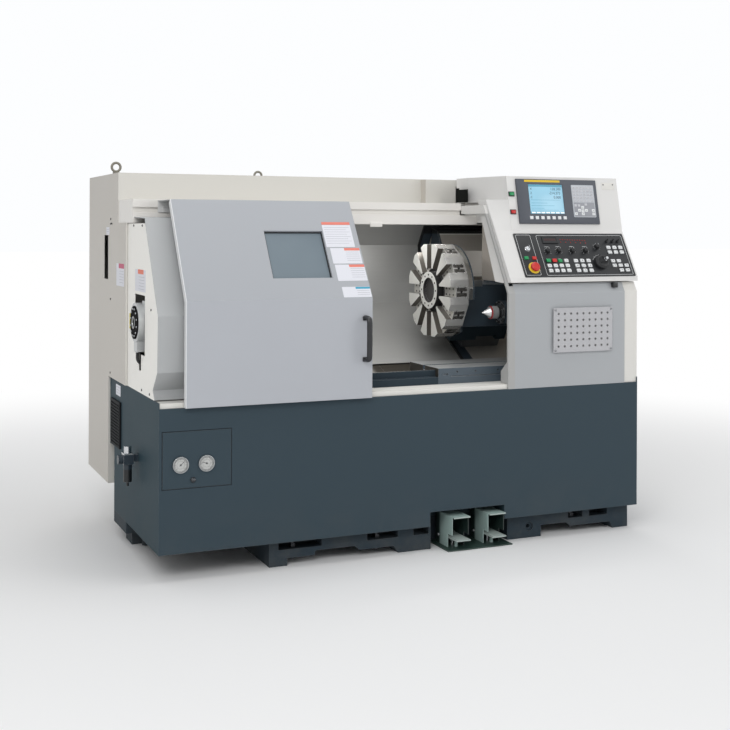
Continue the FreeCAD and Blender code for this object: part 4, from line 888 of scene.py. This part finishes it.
slot_screws = [facing(-90, 1409, *turret_axis) @ spin(30 * i) @ shift(out, side)
               for i in range(12) for out in (118, 152, 186) for side in (-13, 13)]
screws("turret_slot_screws", slot_screws, 4.6, 1.2, screw_dark, "turret_disc", recess=0.55)
screws("turret_hub_screws", ring_of(turret_front, 71, 12), 4.2, 1.6, screw_dark, "turret_disc", recess=0.55)
tag_metal = plain("brushed_tag", rgb(122, 124, 124), 0.4, 0.7)
settle(block((1566, 403.2, 1077), (1611, 404.2, 1106), 0.2), "turret_tag", tag_metal, body="cross_slide")


# ---------------- tailstock and live centre
# The quill carries a live centre of ground steel, whose rotating nose has a red ring. A black cap
# with a ring of screws closes the tailstock's barrel.
coat(metal("centre_steel", rgb(222, 222, 222), 0.24, 0.6, stretch=(300, 20, 20), stain=0.08, depth=0.05,
           fields=[
    (dict(x=between(0.5525, 0.5585)), (rgb(176, 30, 36), 0.4, 0.0)),
    (dict(x=between(0.588, 0.600)), (rgb(38, 38, 40), 0.4, 0.3))]), "live_centre")
coat(metal("tailstock_iron", *slate_paint, stretch=(40, 40, 40), depth=0.3, stain=0.2, fields=[
    (dict(x=below(0.609)), (rgb(30, 31, 33), 0.42, 0.1))]), "tailstock")
spindle_axis = (325, 962)
barrel_screws = [facing(-90, 1654, *spindle_axis) @ spin(22.5 + 45 * i) @ shift(46, 0) for i in range(8)]
screws("barrel_screws", barrel_screws, 3.8, 3.0, screw_steel, "tailstock")


# ---------------- sliding door
# A folded sheet door with a smoked window set in a rubber lip, a black grip at its closing edge and
# four blank plates with a plain colour band on the slope.
door_slope = facing(0, 0, -28, 1064, degrees(atan2(391, 250)))
# The door's upward-looking slope is painted darker as painted shade, and its top behind the front is painted
# lighter as painted light where it lies in shade; its left end is painted near white.
coat(enamel("door_panel_enamel", rgb(179, 182, 188), fields=[
    (dict(face_z=above(0.12, 0.04)), rgb(169, 172, 177)), (dict(x=below(-0.9512)), rgb(230, 231, 232)),
    (dict(y=above(-0.43)), rgb(226, 226, 225))]), "front_door")
pane, tree = new_material("smoked_pane")
haze = noise(tree, on_piece(tree), 3.0, 3.0)
tint = mix(tree, haze, rgb(116, 130, 140), rgb(136, 149, 157))
surface(tree, Base_Color=tint, Roughness=ramp(tree, haze, 0.2, 0.8, 0.06, 0.16), Transmission_Weight=0.15,
        IOR=1.45, Specular_IOR_Level=0.3)
coat(pane, "door_window")
gasket = rounded_outline((460.3, 95.3, 711.7, 316.7), 4, 2, 4.2, -12.8)
settle(gasket, "window_gasket", wiper_rubber, door_slope, "front_door")

grip_black = plain("grip_black", rgb(34, 35, 38), 0.36, grain=0.1, scale=1200.0)
clear()
bpy.ops.curve.primitive_nurbs_path_add()
grip = bpy.context.object
grip.data.splines.clear()
rail = grip.data.splines.new("NURBS")
foot_bend = [(-86, 0), (-86, 12), (-84, 32), (-74, 40), (-52, 40)]
bends = foot_bend + [(0, 41)] + [(-y, z) for y, z in reversed(foot_bend)]
rail.points.add(len(bends) - 1)
for point, (y, z) in zip(rail.points, bends):
    point.co = (0, y * MM, z * MM, 1)
rail.order_u = 3
rail.use_endpoint_u = True
grip.data.dimensions = "3D"
grip.data.resolution_u = 6
grip.data.bevel_depth = 8.0 * MM
grip.data.bevel_resolution = 5
bpy.ops.object.convert(target="MESH")
grip = bpy.context.object
bpy.ops.transform.resize(value=(1.45, 1, 1))
fix()
feet = [block((-14, y - 9, 0.1), (14, y + 9, 7), 2.5, 3) for y in (-82.3, 82.3)]
settle(joined(grip, *feet), "door_grip", grip_black, facing(0, 835, -28, 899.5), "front_door",
       stands_for=("door_handle",))
screws("grip_screws", [facing(0, 835, -35.2, 899.5 + y) for y in (-86, 86)], 3.2, 1.8, screw_steel, "front_door")


def plates(name, body, face, fields, bands, rules):
    """Blank plates on a face: pale fields, plain colour bands and thin grey rules, all as thin plates."""
    def rounded(corners, low, high, corner):
        return joined(*[block((x0, y0, low), (x1, y1, high), upright=corner) for x0, y0, x1, y1 in corners])

    settle(rounded(fields, 0.05, 0.6, 2.5), name, plate_white, face, body, smooth=0)
    for i, (ink, corners) in enumerate(bands):
        settle(rounded(corners, 0.5, 0.8, 1.0), name + "_band_" + str(i + 1), ink, face, body=body, smooth=0)
    lines = joined(*[block((x0, y - 0.7, 0.5), (x1, y + 0.7, 0.72)) for x0, x1, y in rules])
    settle(lines, name + "_rules", rule_grey, face, body=body, smooth=0)


def rules_down(x0, x1, y, pitch, count):
    return [(x0, x1, y - pitch * i) for i in range(count)]


plate_white = plain("plate_white", rgb(222, 223, 230))
band_coral = plain("band_coral", rgb(226, 128, 112))
band_blue = plain("band_blue", rgb(60, 158, 190))
rule_grey = plain("rule_grey", rgb(168, 170, 178))
plates("door_plates", "front_door", door_slope,
       [(716, 239, 842, 346), (729, 160, 858, 234), (733, 79, 862, 155), (741, 3, 863, 51)],
       [(band_coral, [(716, 347, 842, 360), (790, 222, 858, 234), (795, 143, 862, 155)]),
        (band_blue, [(800, 41, 863, 50)])],
       [(722, 834 - 14 * (i % 2), 334 - 11 * i) for i in range(8)] + rules_down(794, 852, 215, 10, 5)
       + rules_down(798, 856, 136, 10, 5) + rules_down(804, 858, 33, 9, 3))


# ---------------- left side: cover, actuator and vents
# Screws hold the cream covers to the frame. Through the cutout stands the spindle's rotary cylinder,
# a black flange with cap screws in an aluminium ring, with its drain hose below.
cover_screws = [(-9, 854, 1379), (-9, 854, 1358), (-9, 854, 1026), (-9, 854, 701), (-9, 830, 1359),
                (0, 602, 1350), (0, 434, 1350), (0, 283, 1350), (0, 128, 1024), (0, 616, 694), (0, 283, 696),
                (0, 150, 696)]
screws("side_screws", [facing(-90, *spot) for spot in cover_screws], 4.6, 2.4, screw_dark)
coat(metal("cast_aluminium", rgb(196, 198, 198), 0.42, 0.35, stretch=(50, 50, 50), depth=0.35, fields=[
    (dict(z=below(0.842)), (rgb(34, 35, 36), 0.55, 0.0))]), "cylinder_housing")
coat(plain("flange_black", rgb(20, 20, 21), 0.7, Specular_IOR_Level=0.03), "rotary_cylinder")
actuator = facing(-90, -24, *spindle_axis)
screws("actuator_screws", ring_of(actuator, 55, 12, 15), 4.0, 3.0, screw_steel, "spindle")
actuator_ring = turned([(0.1, 25), (2.2, 25), (3.0, 24.2), (3.0, 20), (1.0, 19.4), (1.0, 18), (0.1, 17.6)], 64,
                       hollow=True)
settle(actuator_ring, "actuator_ring", case_steel, actuator, "spindle")
tag_yellow = plain("tag_yellow", rgb(214, 196, 60), 0.45)
settle(block((-87, -30, 0.1), (-69, 32, 2.4), 0.8), "actuator_tag", tag_yellow,
       facing(-90, -20, *spindle_axis))
coat(plain("vent_black", rgb(26, 28, 31), 0.6, scale=600.0, Specular_IOR_Level=0.08), "vent_grille")
coat(metal("regulator_parts", rgb(38, 50, 60), 0.35, 0.0, fields=[
    (dict(z=above(0.432)), (rgb(206, 208, 210), 0.22, 1.0)), (dict(z=below(0.372)), (rgb(24, 26, 28), 0.4, 0.0)),
    (dict(y=above(-0.278)), (rgb(214, 216, 218), 0.2, 1.0))]), "filter_regulator")
band_magenta = plain("band_magenta", rgb(190, 72, 106))
band_orange = plain("band_orange", rgb(226, 112, 82))
for plate_name, corner, field, bands, rules in (
        ("cabinet_plate", (-9, 733, 1092), (2, 0, 156, 96), [(band_magenta, [(50, 76, 156, 96)])],
         (66, 146, 64, 12, 5)),
        ("cover_plate", (0, 408, 1086), (2, 0, 186, 88), [(band_orange, [(52, 70, 150, 88)])],
         (66, 166, 58, 12, 5)),
        ("vent_plate", (0, 772, 616), (0, 0, 92, 46), [], (8, 84, 36, 12, 3)),
        ("slot_plate", (-9, 950, 1309), (0, 0, 66, 34), [], (8, 58, 24, 10, 2))):
    plates(plate_name, "frame", facing(-90, *corner), [field], bands, rules_down(*rules))


# ---------------- foot pedals
# Two pressed treads swing in bent steel guards on one base plate. All is hammered green-grey enamel with a
# painted highlight on its edges; the guards' rear and the walls right of the treads are painted dark as painted
# shade, the treads are a greyer green, and springs and pivot bolts stay bare.
# The dark green below is painted shade on the guards' walls right of the treads.
shaded_green = rgb(34, 48, 46)
coat(enamel("pedal_guard_enamel", rgb(164, 186, 181), peel=0.5, clouds=0.25, roughness=0.42, edge=0.7,
            shine=0.35, fields=[
    (dict(y=above(-0.556, 0.01)), rgb(38, 54, 51)), (dict(x=between(0.2625, 0.3), z=below(0.132)), shaded_green),
    (dict(x=above(0.4325), z=below(0.132)), shaded_green), (dict(z=below(0.0055)), rgb(46, 66, 60))]),
     "pedal_guards")
tread_green = enamel("pedal_tread_enamel", rgb(166, 178, 174), peel=0.4, clouds=0.2, roughness=0.4, edge=0.8,
                     shine=0.35)
coat(tread_green, "foot_pedal_1", "foot_pedal_2")
treads = (1240, 1410)  # left edges of the two treads
for number, start in zip("12", treads):
    ribs = [block((start + 12, -36 + 13 * i, 46.9), (start + 66, -31 + 13 * i, 48.6), 0.7) for i in range(7)]
    settle(joined(*ribs), "tread_ribs_" + number, tread_green, body="pedal_" + number, smooth=0)
coils = [(3 * i + rise, 7 - i % 2) for i in range(7) for rise in (0, 2)]
springs = [moved(turned(coils, 24), shift(start + 39, 66, 5.1)) for start in treads]
settle(joined(*springs), "pedal_springs", chrome)
pivots = [facing(-90, start - 0.1, 112, 40) for start in treads]
screws("pedal_pivot_bolts", pivots, 7.5, 5.0, screw_steel)
lips = [moved(turned([(0, 2.2), (0.8, 3.2), (77.2, 3.2), (78, 2.2)], 20), shift(start, -24, 137.2) @ spin(90, "Y"))
        for start in treads]
settle(joined(*lips), "pedal_lips", tread_green)


# ---------------- right front
# The perforated plate stands off the panel on four screwed posts, with a pressed rim round each hole.
# A black socket hangs below the console's lip, a clip holds the canopy's lower edge, and a black
# plate lies in the gap beside the console box.
screws("plate_screws", [facing(0, x, -12.5, z) for x in (1741, 2029) for z in (815, 991)], 4.6, 2.4, screw_steel)
hole_places = [facing(0, 1758 + 254 * i / 8, -10.0, 832 + 142 * j / 5) for i in range(9) for j in range(6)]
hole_rims = copies(turned([(0.1, 5.4), (0.4, 5.2), (0.4, 4.5), (0.1, 4.2)], 20, hollow=True), hole_places)
settle(hole_rims, "plate_hole_rims", plain("hole_shade", rgb(146, 146, 143), 0.6), Matrix())
lip_socket = block((2046, 1084, -14), (2072, 1106, 4), 2)
settle(lip_socket, "lip_socket", black_moulding, facing(0, 0, 0, 0))
clip = block((1054, 1349, 0.1), (1113, 1371, 4.0), 0.8)
settle(clip, "canopy_clip", canopy_cream, facing(0, 0, 430, 0))
entry_black = plain("cable_entry_black", rgb(18, 20, 18), 0.7, Specular_IOR_Level=0.05)
entry = joined(block((0, 0, 0.1), (114, 59, 0.8)), block((0, 59, 0.1), (30, 66, 0.8)))
settle(entry, "cable_entry", entry_black, facing(-90, 1526, 504, 1464))


# ---------------- rear cabinet and right end
# The rear door hangs on two black knuckle hinges and shuts with a black lever lock. Pressed louvres
# let the cabinet breathe, and screws hold the rear and end sheets to their folded frames.
REAR, END = 1358.75, 2180  # the machine's rear and right faces
coat(metal("cabinet_door_coat", rgb(214, 212, 206), 0.42, 0.0, fields=[
    (dict(y=above(0.7213)), (rgb(38, 40, 42), 0.4, 0.2))]), "cabinet_door")
louvre_places = [(x, z + 22 * i) for x, z in ((-380, 1180), (-830, 1180), (-380, 360), (-830, 360))
                 for i in range(8)]
settle(copies(block((-90, -4, 0.1), (90, 4, 7), 3), louvre_places), "rear_louvres", cream,
       facing(180, 0, REAR, 0))
rear_screws = [facing(180, x, REAR, z) for x in (30, 575, 1165, 2045, 2140) for z in (250, 1540)]
rear_screws += [facing(180, x, REAR, z) for x in (30, 2140) for z in (560, 900, 1240)]
screws("rear_screws", rear_screws, 5.5, 3.0, screw_steel)
end_screws = [facing(90, END, y, z) for y, z in ((40, 690), (40, 1080), (500, 690), (500, 1080), (620, 700),
                                                 (620, 1530), (1320, 280), (1320, 1530))]
screws("end_screws", end_screws, 5.5, 3.0, screw_steel)
coat(metal("eyebolt_steel", rgb(128, 124, 114), 0.45, 0.4, depth=0.15), "eyebolts")
